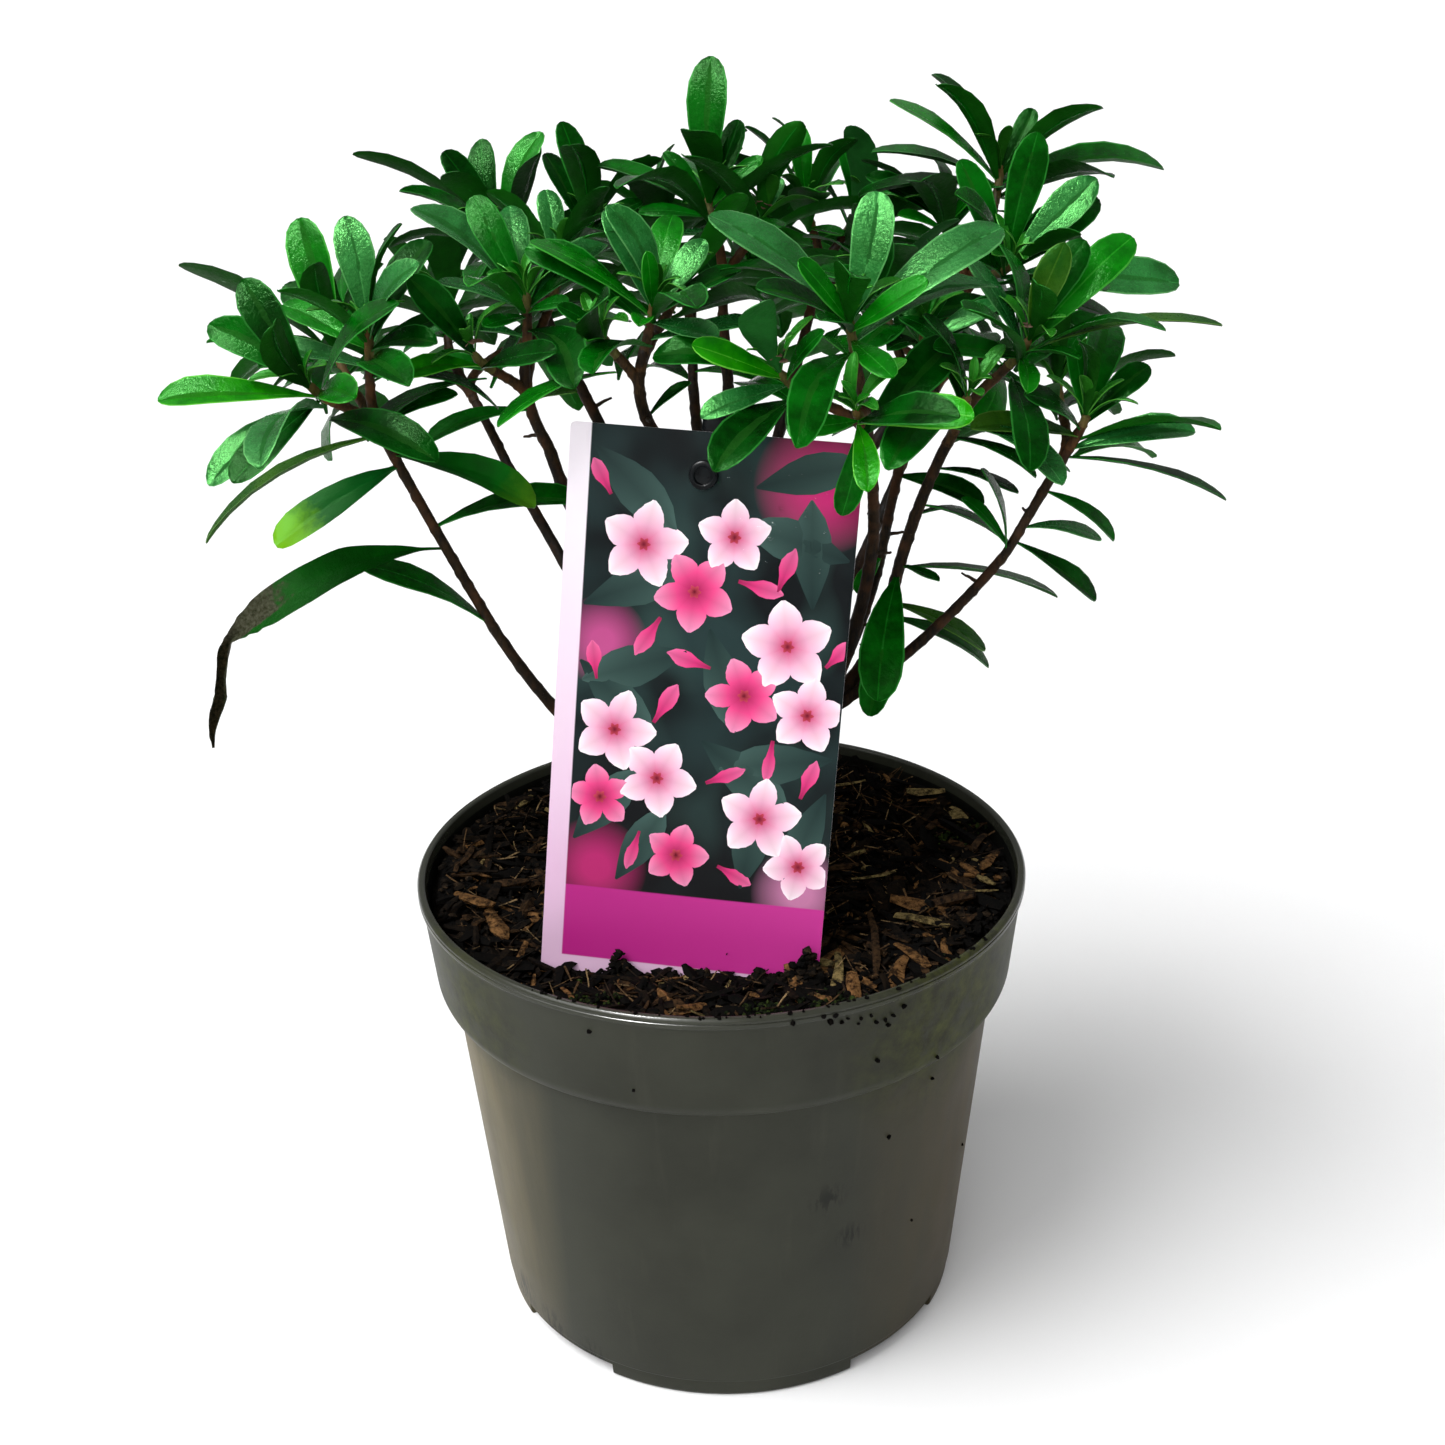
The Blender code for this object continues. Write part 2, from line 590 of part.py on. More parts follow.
def make_limbs(group, cutters):
    """The trunk, then each bough, cut 0.3 mm clear of the limbs it meets."""
    trunk, path, radii = make_trunk(group)
    limbs = {"trunk": (trunk, path, radii)}
    hulls = {"trunk": as_cutter(tube("trunk_hull", path, radii, cutters, GAP), cutters)}
    for name, (parent, share, via, tip, thick, thin) in BOUGHS.items():
        start, _ = along(limbs[parent][1], share)
        path = bowed(start, via, tip, BOUGH_STEPS)
        radii = np.linspace(thick, thin, len(path))
        siblings = [n for n in limbs if n == parent or (n in BOUGHS and BOUGHS[n][0] == parent)]
        if parent in BOUGHS:
            siblings += [n for n in limbs if n == BOUGHS[parent][0]]
        bough = cut_clear(tube(name, path, radii, group), [hulls[n] for n in siblings])
        limbs[name] = (bough, path, radii)
        hulls[name] = as_cutter(tube(name + "_hull", path, radii, cutters, GAP), cutters)
    for hull in hulls.values():
        bpy.data.objects.remove(hull, do_unlink=True)
    return limbs


def loft(rings):
    """Points and faces of a solid through rings of the same number of points."""
    sides = len(rings[0])
    points = [tuple(p) for ring in rings for p in ring]
    faces = [tuple(range(sides))[::-1]]
    for ring in range(len(rings) - 1):
        base = ring * sides
        for side in range(sides):
            after = (side + 1) % sides
            faces.append((base + side, base + after, base + sides + after, base + sides + side))
    faces.append(tuple(range(len(points) - sides, len(points))))
    return points, faces


def rod(path, radii, sides):
    """A straight-sided twig along a path, a few sides round."""
    rings = []
    for index, centre in enumerate(path):
        before = path[max(index - 1, 0)]
        after = path[min(index + 1, len(path) - 1)]
        way = (after - before) / np.linalg.norm(after - before)
        across = np.cross(way, (0.31, 0.93, 0.11))
        across /= np.linalg.norm(across)
        over = np.cross(way, across)
        turn = np.arange(sides) * 2.0 * math.pi / sides
        rings.append([centre + radii[index] * (math.cos(a) * across + math.sin(a) * over)
                      for a in turn])
    return loft(rings)


def heading(bearing, rise):
    """Unit vector from a bearing (0 along +X, 90 along +Y) and a rise, in degrees."""
    a, e = math.radians(bearing), math.radians(rise)
    return np.array([math.cos(e) * math.cos(a), math.cos(e) * math.sin(a), math.sin(e)])


def leaf_solid(leaf, grow=0.0, first=0.0):
    """A leaf as a loft of three-cornered sections: two edges and a keel below."""
    root, way, up, length, width, arch = leaf
    side = np.cross(way, up)
    stations = [(0.0, ROOT_WIDTH / width), (0.62, 1.0), (1.0, 0.45)]
    if length > LONG_LEAF:
        stations[1:] = [(0.42, 0.86), (0.80, 0.94), (1.0, 0.40)]
    rings = []
    for t, broad in stations:
        t = max(t, first)
        centre = root + way * (length * t) + up * (length * arch * 4.0 * t * (1.0 - t))
        if t == 0.0:
            centre = centre - way * ROOT_SINK
        half = width * broad / 2 + grow
        keel = LEAF_THICK * (0.45 if t > 0.9 else 1.0) + grow
        rings.append([centre + side * half + up * grow, centre - up * keel,
                      centre - side * half + up * grow])
    return loft(rings)


def shoot_path(start, start_way, tip):
    """A shoot's path, leaving along its stem and rising to its tip, and its heading there."""
    run = np.linalg.norm(tip - start)
    end_way = (tip - start) / run + np.array([0.0, 0.0, 0.8])
    end_way /= np.linalg.norm(end_way)
    control = (start, start + start_way * run / 3, tip - end_way * run / 3, tip)
    t = np.linspace(0.0, 1.0, 4)[:, None]
    path = ((1 - t) ** 3 * control[0] + 3 * (1 - t) ** 2 * t * control[1]
            + 3 * (1 - t) * t * t * control[2] + t ** 3 * control[3])
    return path, end_way


def upper_side(way, facing):
    """The side of a leaf that turns as far towards a direction as the leaf's own way lets it."""
    up = facing - way * float(np.dot(facing, way))
    size = np.linalg.norm(up)
    if size < 0.05:
        return upper_side(way, np.array([0.3, -0.5, 0.2]))
    return up / size


def spiral_leaf(name, index, count, tip, axis):
    """One leaf of a shoot's spiral: low ones spread and droop, high ones stand up."""
    chance = random.Random("%s %d" % (name, index))
    rank = (index + 0.5) / count
    turn = math.radians(index * GOLDEN + chance.uniform(-14, 14) + random.Random(name).uniform(0, 360))
    tilt = math.radians(LOW_TILT + (HIGH_TILT - LOW_TILT) * rank ** 1.1 + chance.uniform(-7, 7))
    across = np.cross(axis, (0.2, 1.0, 0.1))
    across /= np.linalg.norm(across)
    over = np.cross(axis, across)
    way = axis * math.cos(tilt) + (across * math.cos(turn) + over * math.sin(turn)) * math.sin(tilt)
    way = way / np.linalg.norm(way)
    length = LEAF_LENGTH * (0.66 + 0.34 * math.sin(math.pi * min(rank * 0.8 + 0.2, 1.0)))
    length *= chance.uniform(0.84, 1.06)
    root = tip - axis * (1.0 + LEAFY_LENGTH * (1.0 - rank))
    return root, way, length


def grow_mass(name, plan, limbs):
    """The wood of a mass and the leaves it would like, best first."""
    path, radii = limbs[plan["bough"]][1], limbs[plan["bough"]][2]
    way = (path[-1] - path[-2]) / np.linalg.norm(path[-1] - path[-2])
    foot = path[-1] + way * GAP
    stem = np.vstack([foot, bowed(foot + way * STRAIGHT_FOOT, *plan["stem"], 5)])
    thick = radii[-1] - 0.1
    wood = [(stem, np.linspace(thick, STEM_END_RADIUS, len(stem)), 5)]
    aimed = []
    spiral = []
    up = np.array([0.0, 0.0, 1.0])
    run = np.linalg.norm(stem[-1] - stem[0])
    for number, (share, tip, count, standing) in enumerate(plan["shoots"]):
        start, start_way = along(stem, min(share, 0.97))
        tip = np.array(tip, float)
        line, axis = shoot_path(start, start_way, tip)
        wood.append((line, np.linspace(*TWIG_RADII, len(line)), 3))
        for bearing, rise, length, *turn in standing:
            way = heading(bearing, rise)
            tilt = math.acos(max(min(float(np.dot(way, axis)), 1.0), -1.0)) / (math.pi / 2)
            root = tip - axis * (1.0 + STAND_DROP * tilt)
            whole = tip + way * length - root
            light = turn[0] if turn else 1.0
            reach = np.linalg.norm(whole)
            aimed.append((root, whole / reach, axis + light * SUNWARD, reach))
        label = "%s_%d" % (name, number)
        away = np.array([tip[0] - TRUNK_FORK[0], tip[1] - TRUNK_FORK[1], 0.0])
        facing = axis + OUTWARD * away / np.linalg.norm(away)
        for index in range(0, count, 2):
            root, way, length = spiral_leaf(label, index, count, tip, axis)
            spiral.append((root, way, facing, length))
    for share, bearing, rise, length, *turn in plan["low_leaves"]:
        root, _ = along(stem, max(share, BARE_FOOT / run))
        light = turn[0] if turn else LOW_LIGHT
        aimed.append((root, heading(bearing, rise), up + light * SUNWARD, length))
    return wood, aimed, spiral


def tree_of(points, faces):
    """A search tree for overlaps, from points and faces in millimetres."""
    return BVHTree.FromPolygons([tuple(p) for p in points], faces, epsilon=0.0)


def tree_of_object(item):
    shape = bmesh.new()
    shape.from_mesh(item.data)
    bmesh.ops.transform(shape, matrix=item.matrix_world, verts=shape.verts)
    points = [tuple(v.co / MM) for v in shape.verts]
    faces = [tuple(v.index for v in f.verts) for f in shape.faces]
    shape.free()
    return tree_of(points, faces)


def claim(owner, leaf, taken):
    """Note the space of a leaf: all of it, and what is left without its root."""
    root, way, _, length, _, _ = leaf
    whole = tree_of(*leaf_solid(leaf, CLEARANCE))
    outer = tree_of(*leaf_solid(leaf, CLEARANCE, ROOT_SHARE))
    taken.append((owner, root + way * length / 2, length * 0.6, whole, outer))


def is_free(owner, leaf, taken, wood):
    """Whether a leaf keeps clear of all leaves and wood, but for its root in its own mass."""
    claimed = []
    claim(owner, leaf, claimed)
    _, centre, reach, whole, outer = claimed[0]
    for other, place, other_reach, other_whole, other_outer in taken:
        if np.linalg.norm(place - centre) > reach + other_reach:
            continue
        if other == owner and outer.overlap(other_outer):
            return False
        if other != owner and whole.overlap(other_whole):
            return False
    return not any((outer if other == owner else whole).overlap(tree) for other, tree in wood)


def try_leaf(owner, spec, taken, wood, middle):
    """Place a leaf, turned a little where it would touch something, or give up on it."""
    root, way, facing, length = spec
    bearing = math.degrees(math.atan2(way[1], way[0]))
    rise = math.degrees(math.asin(way[2]))
    for turn, lift in NUDGES:
        aim = heading(bearing + turn, min(rise + lift, 88.0))
        leaf = (root, aim, upper_side(aim, facing), length, length * LEAF_WIDTH, LEAF_ARCH)
        within = np.linalg.norm(root + aim * length - middle) < REACH
        if within and is_free(owner, leaf, taken, wood):
            claim(owner, leaf, taken)
            return leaf
    return None


def bent_leaf(stem_point, taken):
    """The long bent leaf: a broad blade and the dried strip that hangs from its end."""
    _, bearing, rise, length = BENT_LEAF
    up = np.array([0.0, 0.0, 1.0])
    way = heading(bearing, rise)
    blade = (stem_point, way, upper_side(way, up + SUNWARD), length, length * 0.2, 0.16)
    inset = 3.0
    bow = blade[5] * 4.0 * inset * (1.0 - inset / length)
    end = stem_point + way * (length - inset) + blade[2] * (bow - LEAF_THICK / 2)
    hang = heading(BENT_TIP[0], BENT_TIP[1])
    strip = (end, hang, upper_side(hang, SUNWARD), BENT_TIP[2], 4.4, 0.03)
    for leaf in (blade, strip):
        claim(BENT_LEAF_MASS, leaf, taken)
    return [blade, strip]


def fuse(name, solids, group, finish):
    """Join lofts into one body by a Boolean union on a collection."""
    stock = collection(name + "_stock")
    pieces = [mesh_object("%s_%d" % (name, i), *solid, stock) for i, solid in enumerate(solids)]
    body = pieces[0]
    stock.objects.unlink(body)
    group.objects.link(body)
    join = body.modifiers.new("union", "BOOLEAN")
    join.operation = "UNION"
    join.operand_type = "COLLECTION"
    join.collection = stock
    join.solver = "EXACT"
    joined = frozen(body)
    tidy(joined.data, weld=FINE_WELD)
    for piece in pieces[1:]:
        bpy.data.objects.remove(piece, do_unlink=True)
    bpy.data.collections.remove(stock)
    joined.name = name
    joined.data.materials.append(finish)
    return joined


def make_foliage(group, limbs, fixed):
    """All masses: their wood first, then the leaves that stand out, then the spirals."""
    plans = {name: grow_mass(name, plan, limbs) for name, plan in MASSES.items()}
    rods = {name: [rod(*line) for line in plans[name][0]] for name in plans}
    wood = [(name, tree_of(*solid)) for name in plans for solid in rods[name]]
    wood += [("", tree) for tree in fixed]
    middles = {name: np.mean([np.array(s[1], float) for s in plan["shoots"]], axis=0)
               for name, plan in MASSES.items()}
    leaves = {name: [] for name in plans}
    taken = []
    skipped = 0
    stem = plans[BENT_LEAF_MASS][0][0][0]
    leaves[BENT_LEAF_MASS] += bent_leaf(along(stem, BENT_LEAF[0])[0], taken)
    for rank in (1, 2):
        for name, plan in plans.items():
            for spec in plan[rank]:
                leaf = try_leaf(name, spec, taken, wood, middles[name])
                if leaf is None:
                    skipped += 1
                else:
                    leaves[name].append(leaf)
    print("leaves", sum(len(found) for found in leaves.values()), "skipped", skipped)
    for index, name in enumerate(plans):
        green = (0.035 + 0.006 * (index % 3), 0.16 + 0.02 * (index % 4), 0.03)
        finish = material(name, green, 0.45)
        fuse(name, rods[name] + [leaf_solid(leaf) for leaf in leaves[name]], group, finish)


def smooth(item, angle=32.0):
    item.data.shade_smooth()
    item.data.set_sharp_from_angle(angle=math.radians(angle))


def build():
    clear_scene()
    parts = collection("potted_daphne")
    cutters = collection("cutters")
    pot = make_pot(parts, cutters)
    soil = make_soil(parts)
    card, peg = make_label(parts, cutters, soil)
    limbs = make_limbs(parts, cutters)
    pot.data.materials.append(material("pot", (0.062, 0.064, 0.048), 0.5))
    soil.data.materials.append(material("soil", (0.03, 0.018, 0.011), 0.95))
    card.data.materials.append(material("label_card", (0.55, 0.1, 0.32), 0.35))
    peg.data.materials.append(material("label_peg", (0.012, 0.013, 0.015), 0.4))
    bark = material("bark", (0.075, 0.042, 0.024), 0.8)
    for item, _, _ in limbs.values():
        item.data.materials.append(bark)
        smooth(item)
    bpy.context.view_layer.update()
    fixed = [tree_of_object(item) for item, _, _ in limbs.values()]
    fixed += [tree_of_object(item) for item in (card, peg)]
    make_foliage(parts, limbs, fixed)


build()
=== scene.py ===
import math
import random

import bpy
import numpy as np
from mathutils import Euler, Matrix, Vector
from mathutils.bvhtree import BVHTree


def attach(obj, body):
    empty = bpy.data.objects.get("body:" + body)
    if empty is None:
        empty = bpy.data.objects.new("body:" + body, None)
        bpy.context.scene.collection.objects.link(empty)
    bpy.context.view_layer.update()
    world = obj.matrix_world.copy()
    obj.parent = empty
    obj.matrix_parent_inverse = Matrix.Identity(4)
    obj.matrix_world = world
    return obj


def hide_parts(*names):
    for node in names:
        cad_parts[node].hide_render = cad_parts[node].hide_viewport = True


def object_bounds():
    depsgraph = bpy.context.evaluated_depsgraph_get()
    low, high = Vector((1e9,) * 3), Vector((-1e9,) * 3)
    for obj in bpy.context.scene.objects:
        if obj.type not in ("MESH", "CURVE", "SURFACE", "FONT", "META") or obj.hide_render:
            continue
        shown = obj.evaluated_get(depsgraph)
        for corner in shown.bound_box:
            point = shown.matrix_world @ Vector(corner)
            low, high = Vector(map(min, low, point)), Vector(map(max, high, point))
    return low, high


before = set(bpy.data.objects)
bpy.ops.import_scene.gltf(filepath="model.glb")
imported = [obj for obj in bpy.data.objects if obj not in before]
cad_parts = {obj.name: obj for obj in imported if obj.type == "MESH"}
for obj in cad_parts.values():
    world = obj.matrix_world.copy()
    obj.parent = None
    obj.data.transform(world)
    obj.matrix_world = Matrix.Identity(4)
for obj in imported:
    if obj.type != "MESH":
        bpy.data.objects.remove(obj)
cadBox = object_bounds()
mm = 0.001


# Tools for meshes and noise

def unit(v):
    # A way, or rows of them, at length 1
    return v / (np.linalg.norm(v) if v.ndim == 1 else np.linalg.norm(v, axis=1)[:, None])


def crossAxes(way, hint=(0.31, 0.93, 0.11)):
    # Two ways square to another one and to each other
    across = unit(np.cross(way, hint))
    return across, np.cross(way, across)


def ringAngles(steps):
    # Even angles round a full turn
    return np.arange(steps) * 2 * math.pi / steps


def softNoise(points, cell, seed):
    # Random numbers on the corners of a lattice, blended between corners by 3f^2 - 2f^3
    table = np.random.RandomState(seed).rand(8192)
    place = np.asarray(points, float) / cell + 1000.0
    corner = np.floor(place).astype(np.int64)
    f = place - corner
    f = f * f * (3.0 - 2.0 * f)
    total = np.zeros(place.shape[:-1])
    for dx in (0, 1):
        for dy in (0, 1):
            for dz in (0, 1):
                key = ((corner[..., 0] + dx) * 73856093) ^ ((corner[..., 1] + dy) * 19349663)
                key ^= (corner[..., 2] + dz) * 83492791
                part = (f[..., 0] if dx else 1 - f[..., 0]) * (f[..., 1] if dy else 1 - f[..., 1])
                total += table[key & 8191] * part * (f[..., 2] if dz else 1 - f[..., 2])
    return total


def gridFaces(rows, columns, closed=True):
    # Quads between neighbouring rows of points; closed joins each row's end to its start
    across = columns if closed else columns - 1
    r, c = np.meshgrid(np.arange(rows - 1), np.arange(across), indexing="ij")
    after = (c + 1) % columns
    low, high = r * columns, (r + 1) * columns
    return np.stack([low + c, low + after, high + after, high + c], -1).reshape(-1, 4)


def tubeFaces(rows, ring, flip=False):
    # Quads between rings of points and a cap at each end; flip turns all of them over
    ends = [list(range(ring))[::-1], list(range((rows - 1) * ring, rows * ring))]
    faces = gridFaces(rows, ring).tolist() + ends
    return [face[::-1] for face in faces] if flip else faces


def copies(base, size, count):
    # The same faces for each of many shapes that have as many points
    return [[i + number * size for i in face] for number in range(count) for face in base]


def ribbonUv(t, s, count=1):
    # Along a ribbon, and across it from 0 to 1
    uv = np.stack(np.broadcast_arrays(t[:, None], (s / 2 + 0.5)[None]), -1)
    return np.tile(uv.reshape(-1, 2), (count, 1))


def addObject(name, data):
    # A thing with its data, in the scene's collection
    thing = bpy.data.objects.new(name, data)
    bpy.context.collection.objects.link(thing)
    return thing


def addPiece(name, points, faces, slots, finishes, nodes, recordSlot, sharp, uv=None):
    # A piece of the object: points in millimetres, one finish number a face or none
    mesh = bpy.data.meshes.new(name)
    mesh.from_pydata((np.asarray(points, float) * mm).tolist(), [], faces)
    for finish in finishes:
        mesh.materials.append(finish.material)
    if slots is not None:
        mesh.polygons.foreach_set("material_index", np.asarray(slots, np.int32))
    mesh.shade_smooth()
    mesh.set_sharp_from_angle(angle=math.radians(sharp))
    if uv is not None:
        layer = mesh.uv_layers.new(name="surface")
        corners = np.empty(len(mesh.loops), np.int32)
        mesh.loops.foreach_get("vertex_index", corners)
        layer.uv.foreach_set("vector", np.asarray(uv, np.float32)[corners].ravel())
    piece = addObject(name, mesh)
    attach(piece, "root")
    if nodes:
        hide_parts(*nodes)


def heap(parts):
    # Joins (points, faces, finish numbers) of several shapes into one
    points, faces, slots, start = [], [], [], 0
    for shape, quads, finish in parts:
        points.append(shape)
        faces += [tuple(int(i) + start for i in face) for face in quads]
        slots += list(finish) if np.ndim(finish) else [finish] * len(quads)
        start += len(shape)
    return np.concatenate(points), faces, slots


def fineTube(path, radii, sides, relief=None, seed=0):
    # Rings of r (cos a, sin a) across a path, with a cap at each end; relief changes r
    path = np.asarray(path, float)
    across, over = crossAxes(unit(np.gradient(path, axis=0)))
    a = ringAngles(sides)
    radii = np.asarray(radii, float)[:, None] * np.ones(sides)
    out = across[:, None] * np.cos(a)[:, None] + over[:, None] * np.sin(a)[:, None]
    points = path[:, None] + out * radii[..., None]
    if relief is not None:
        run = np.concatenate([[0.0], np.cumsum(np.linalg.norm(np.diff(path, axis=0), axis=1))])
        points = path[:, None] + out * (radii + relief(points, a, run, radii, seed))[..., None]
    return points.reshape(-1, 3), tubeFaces(len(path), sides)


def blobs(centres, sizes, seed, squash=0.7):
    # Twelve corners of an icosahedron each, pushed about at random and flattened a little
    g = (1 + 5 ** 0.5) / 2
    corners = np.array([(-1, g, 0), (1, g, 0), (-1, -g, 0), (1, -g, 0), (0, -1, g), (0, 1, g),
                        (0, -1, -g), (0, 1, -g), (g, 0, -1), (g, 0, 1), (-g, 0, -1), (-g, 0, 1)])
    corners /= np.linalg.norm(corners[0])
    tris = np.array([(0, 11, 5), (0, 5, 1), (0, 1, 7), (0, 7, 10), (0, 10, 11), (1, 5, 9),
                     (5, 11, 4), (11, 10, 2), (10, 7, 6), (7, 1, 8), (3, 9, 4), (3, 4, 2),
                     (3, 2, 6), (3, 6, 8), (3, 8, 9), (4, 9, 5), (2, 4, 11), (6, 2, 10),
                     (8, 6, 7), (9, 8, 1)])
    chance = np.random.RandomState(seed)
    count = len(centres)
    shape = corners[None] * chance.uniform(0.7, 1.3, (count, 12, 1))
    shape = shape * chance.uniform(0.75, 1.3, (count, 1, 3)) * np.array([1, 1, squash])
    turn = chance.uniform(0, 2 * math.pi, count)
    c, s = np.cos(turn)[:, None], np.sin(turn)[:, None]
    x, y = shape[..., 0] * c - shape[..., 1] * s, shape[..., 0] * s + shape[..., 1] * c
    shape = np.stack([x, y, shape[..., 2]], -1) * np.asarray(sizes)[:, None, None]
    points = (shape + np.asarray(centres)[:, None]).reshape(-1, 3)
    return points, (tris[None] + np.arange(count)[:, None, None] * 12).reshape(-1, 3).tolist()


class Finish:
    # A material whose nodes are added by short calls
    def __init__(self, name, colour, roughness, **sockets):
        self.material = bpy.data.materials.new(name)
        self.material.use_nodes = True
        self.material.diffuse_color = (*colour, 1.0)
        self.tree = self.material.node_tree
        self.shader = self.tree.nodes["Principled BSDF"]
        self.shader.inputs["Base Color"].default_value = (*colour, 1.0)
        self.shader.inputs["Roughness"].default_value = roughness
        for socket, value in sockets.items():
            self.shader.inputs[socket.replace("_", " ")].default_value = value

    def set(self, socket, source):
        # Links a source to the finish's own shader
        self.tree.links.new(source, self.shader.inputs[socket])

    def node(self, kind, links=(), **values):
        # Its values go to sockets or properties by name, its links to inputs
        node = self.tree.nodes.new("ShaderNode" + kind)
        for key, value in values.items():
            label = key.replace("_", " ")
            if label in node.inputs:
                node.inputs[label].default_value = value
            else:
                setattr(node, key, value)
        for socket, source in links:
            self.tree.links.new(source, node.inputs[socket])
        return node

    def where(self, stretch=(1.0, 1.0, 1.0), kind="Object"):
        # Object or UV coordinates, stretched
        source = self.node("TexCoord").outputs[kind]
        return self.node("Mapping", [("Vector", source)], Scale=stretch).outputs["Vector"]

    def axes(self, kind="Object"):
        # The coordinates' X, Y and Z
        return self.node("SeparateXYZ", [("Vector", self.where(kind=kind))]).outputs

    def noise(self, scale, detail=3.0, roughness=0.55, stretch=(1.0, 1.0, 1.0), kind="Object",
              distortion=0.0):
        # A cloudy value round a half
        return self.node("TexNoise", [("Vector", self.where(stretch, kind))], Scale=scale,
                         Detail=detail, Roughness=roughness, Distortion=distortion).outputs["Fac"]

    def between(self, value, low, high, out=(0.0, 1.0)):
        # Maps low..high to the out range and holds it there
        return self.node("MapRange", [("Value", value)], From_Min=low, From_Max=high,
                         To_Min=out[0], To_Max=out[1]).outputs["Result"]

    def reckon(self, operation, a, b=0.0):
        # An operation of the Math node on values, each a number or a socket
        node = self.node("Math", operation=operation)
        for port, part in zip(node.inputs, (a, b)):
            if isinstance(part, float):
                port.default_value = part
            else:
                self.tree.links.new(part, port)
        return node.outputs[0]

    def mix(self, factor, first, second):
        # Colour between two colours, each a tuple or a socket
        node = self.node("Mix", data_type="RGBA")
        self.tree.links.new(factor, node.inputs["Factor"])
        ports = [port for port in node.inputs if port.type == "RGBA"]
        for port, part in zip(ports, (first, second)):
            if isinstance(part, tuple):
                port.default_value = (*part, 1.0)
            else:
                self.tree.links.new(part, port)
        return [port for port in node.outputs if port.type == "RGBA"][0]

    def blend(self, value, low, high, first, second, share=(0.0, 1.0)):
        # From the first colour to the second as the value goes from low to high
        return self.mix(self.between(value, low, high, share), first, second)

    def near(self, where, centre, reach, core, share):
        # The share within a place's core, and 0 past its reach
        away = self.node("VectorMath", [("Vector", where)], operation="DISTANCE")
        away.inputs[1].default_value = tuple(centre)
        return self.between(away.outputs["Value"], reach, core, (0.0, share))

    def bump(self, height, strength, distance):
        # Small relief from a value
        node = self.node("Bump", [("Height", height)], Strength=strength, Distance=distance)
        self.set("Normal", node.outputs["Normal"])


def times(colour, factor):
    # A colour made stronger or weaker, at most 1
    return tuple(min(c * factor, 1.0) for c in colour)


def towards(first, second, share):
    # A share of the way from the first colour to the second
    return tuple((1 - share) * a + share * b for a, b in zip(first, second))


# Camera, floor and light

studio = {
    "lens": 45.0,
    "cameraPlace": (1.28, -506.46, 417.40),
    "elevation": 23.65,        # degrees, looking down
    "roll": -1.18,
    "floorColour": (0.93, 0.93, 0.935),
    "skyStrength": 0.42,
    # Way, strength and angle in degrees; the glint is narrower and shows in gloss only
    "sun": ((0.62, 0.25, -0.95), 3.0, 44.0),
    "glint": ((0.38, 0.42, -0.82), 8.5, 10.0),
    "frontLamp": ((-300, -1100, 900), 700, 5.0),    # place, size and watts
}


def addLight(name, kind, way, energy, **values):
    # A light that shines a given way
    light = bpy.data.lights.new(name, kind)
    light.energy = energy
    for key, value in values.items():
        setattr(light, key, value)
    lamp = addObject(name, light)
    lamp.rotation_mode = "QUATERNION"
    lamp.rotation_quaternion = Vector(way).to_track_quat("-Z", "Y")
    return lamp


def makeStudio():
    # The camera's axes are right, up and back, turned by its roll about back
    e, r = math.radians(studio["elevation"]), math.radians(studio["roll"])
    back = np.array([0.0, -math.cos(e), math.sin(e)])
    right = np.array([1.0, 0.0, 0.0])
    up = np.array([0.0, math.sin(e), math.cos(e)])
    axes = (math.cos(r) * right + math.sin(r) * up, -math.sin(r) * right + math.cos(r) * up, back)
    place = np.array(studio["cameraPlace"]) * mm
    lens = bpy.data.cameras.new("photoCamera")
    lens.lens, lens.sensor_width, lens.clip_start = studio["lens"], 36.0, 0.01
    camera = addObject("photoCamera", lens)
    camera.matrix_world = Matrix([[*(axis[i] for axis in axes), place[i]] for i in range(3)]
                                 + [[0, 0, 0, 1]])
    bpy.context.scene.camera = camera
    bpy.context.scene.view_settings.view_transform = "Standard"

    mesh = bpy.data.meshes.new("floor")
    mesh.from_pydata([(-40, -40, 0), (40, -40, 0), (40, 40, 0), (-40, 40, 0)], [], [(0, 1, 2, 3)])
    floor = addObject("floor", mesh)
    paint = Finish("floorPaint", studio["floorColour"], 0.9, Specular_IOR_Level=0.1)
    mesh.materials.append(paint.material)

    sky = bpy.data.worlds.new("studioSky")
    bpy.context.scene.world = sky
    sky.use_nodes = True
    sky.node_tree.nodes["Background"].inputs["Color"].default_value = (1.0, 1.0, 1.0, 1.0)
    sky.node_tree.nodes["Background"].inputs["Strength"].default_value = studio["skyStrength"]
    for name in ("sun", "glint"):
        way, strength, angle = studio[name]
        lamp = addLight(name + "Light", "SUN", way, strength, angle=math.radians(angle))
        lamp.visible_diffuse = name == "sun"
    place, size, watts = studio["frontLamp"]
    lamp = addLight("frontLamp", "AREA", Vector((0, 20, 200)) - Vector(place), watts,
                    size=size * mm)
    lamp.location = Vector(place) * mm


makeStudio()
print("studio ready")


# Trunk and boughs, by the rule of the solids

trunkPlan = {
    "foot": (-3.0, 8.0),
    "fork": (-1.0, 6.0, 176.0),
    "radii": ((0.0, 10.0), (0.10, 7.6), (0.28, 6.4), (0.6, 5.8), (0.9, 5.2), (1.0, 4.2)),
}
soilPlan = {"level": 140.5, "mound": 2.2, "frontRise": 5.0, "edgeRise": 5.0}
gap = 0.3

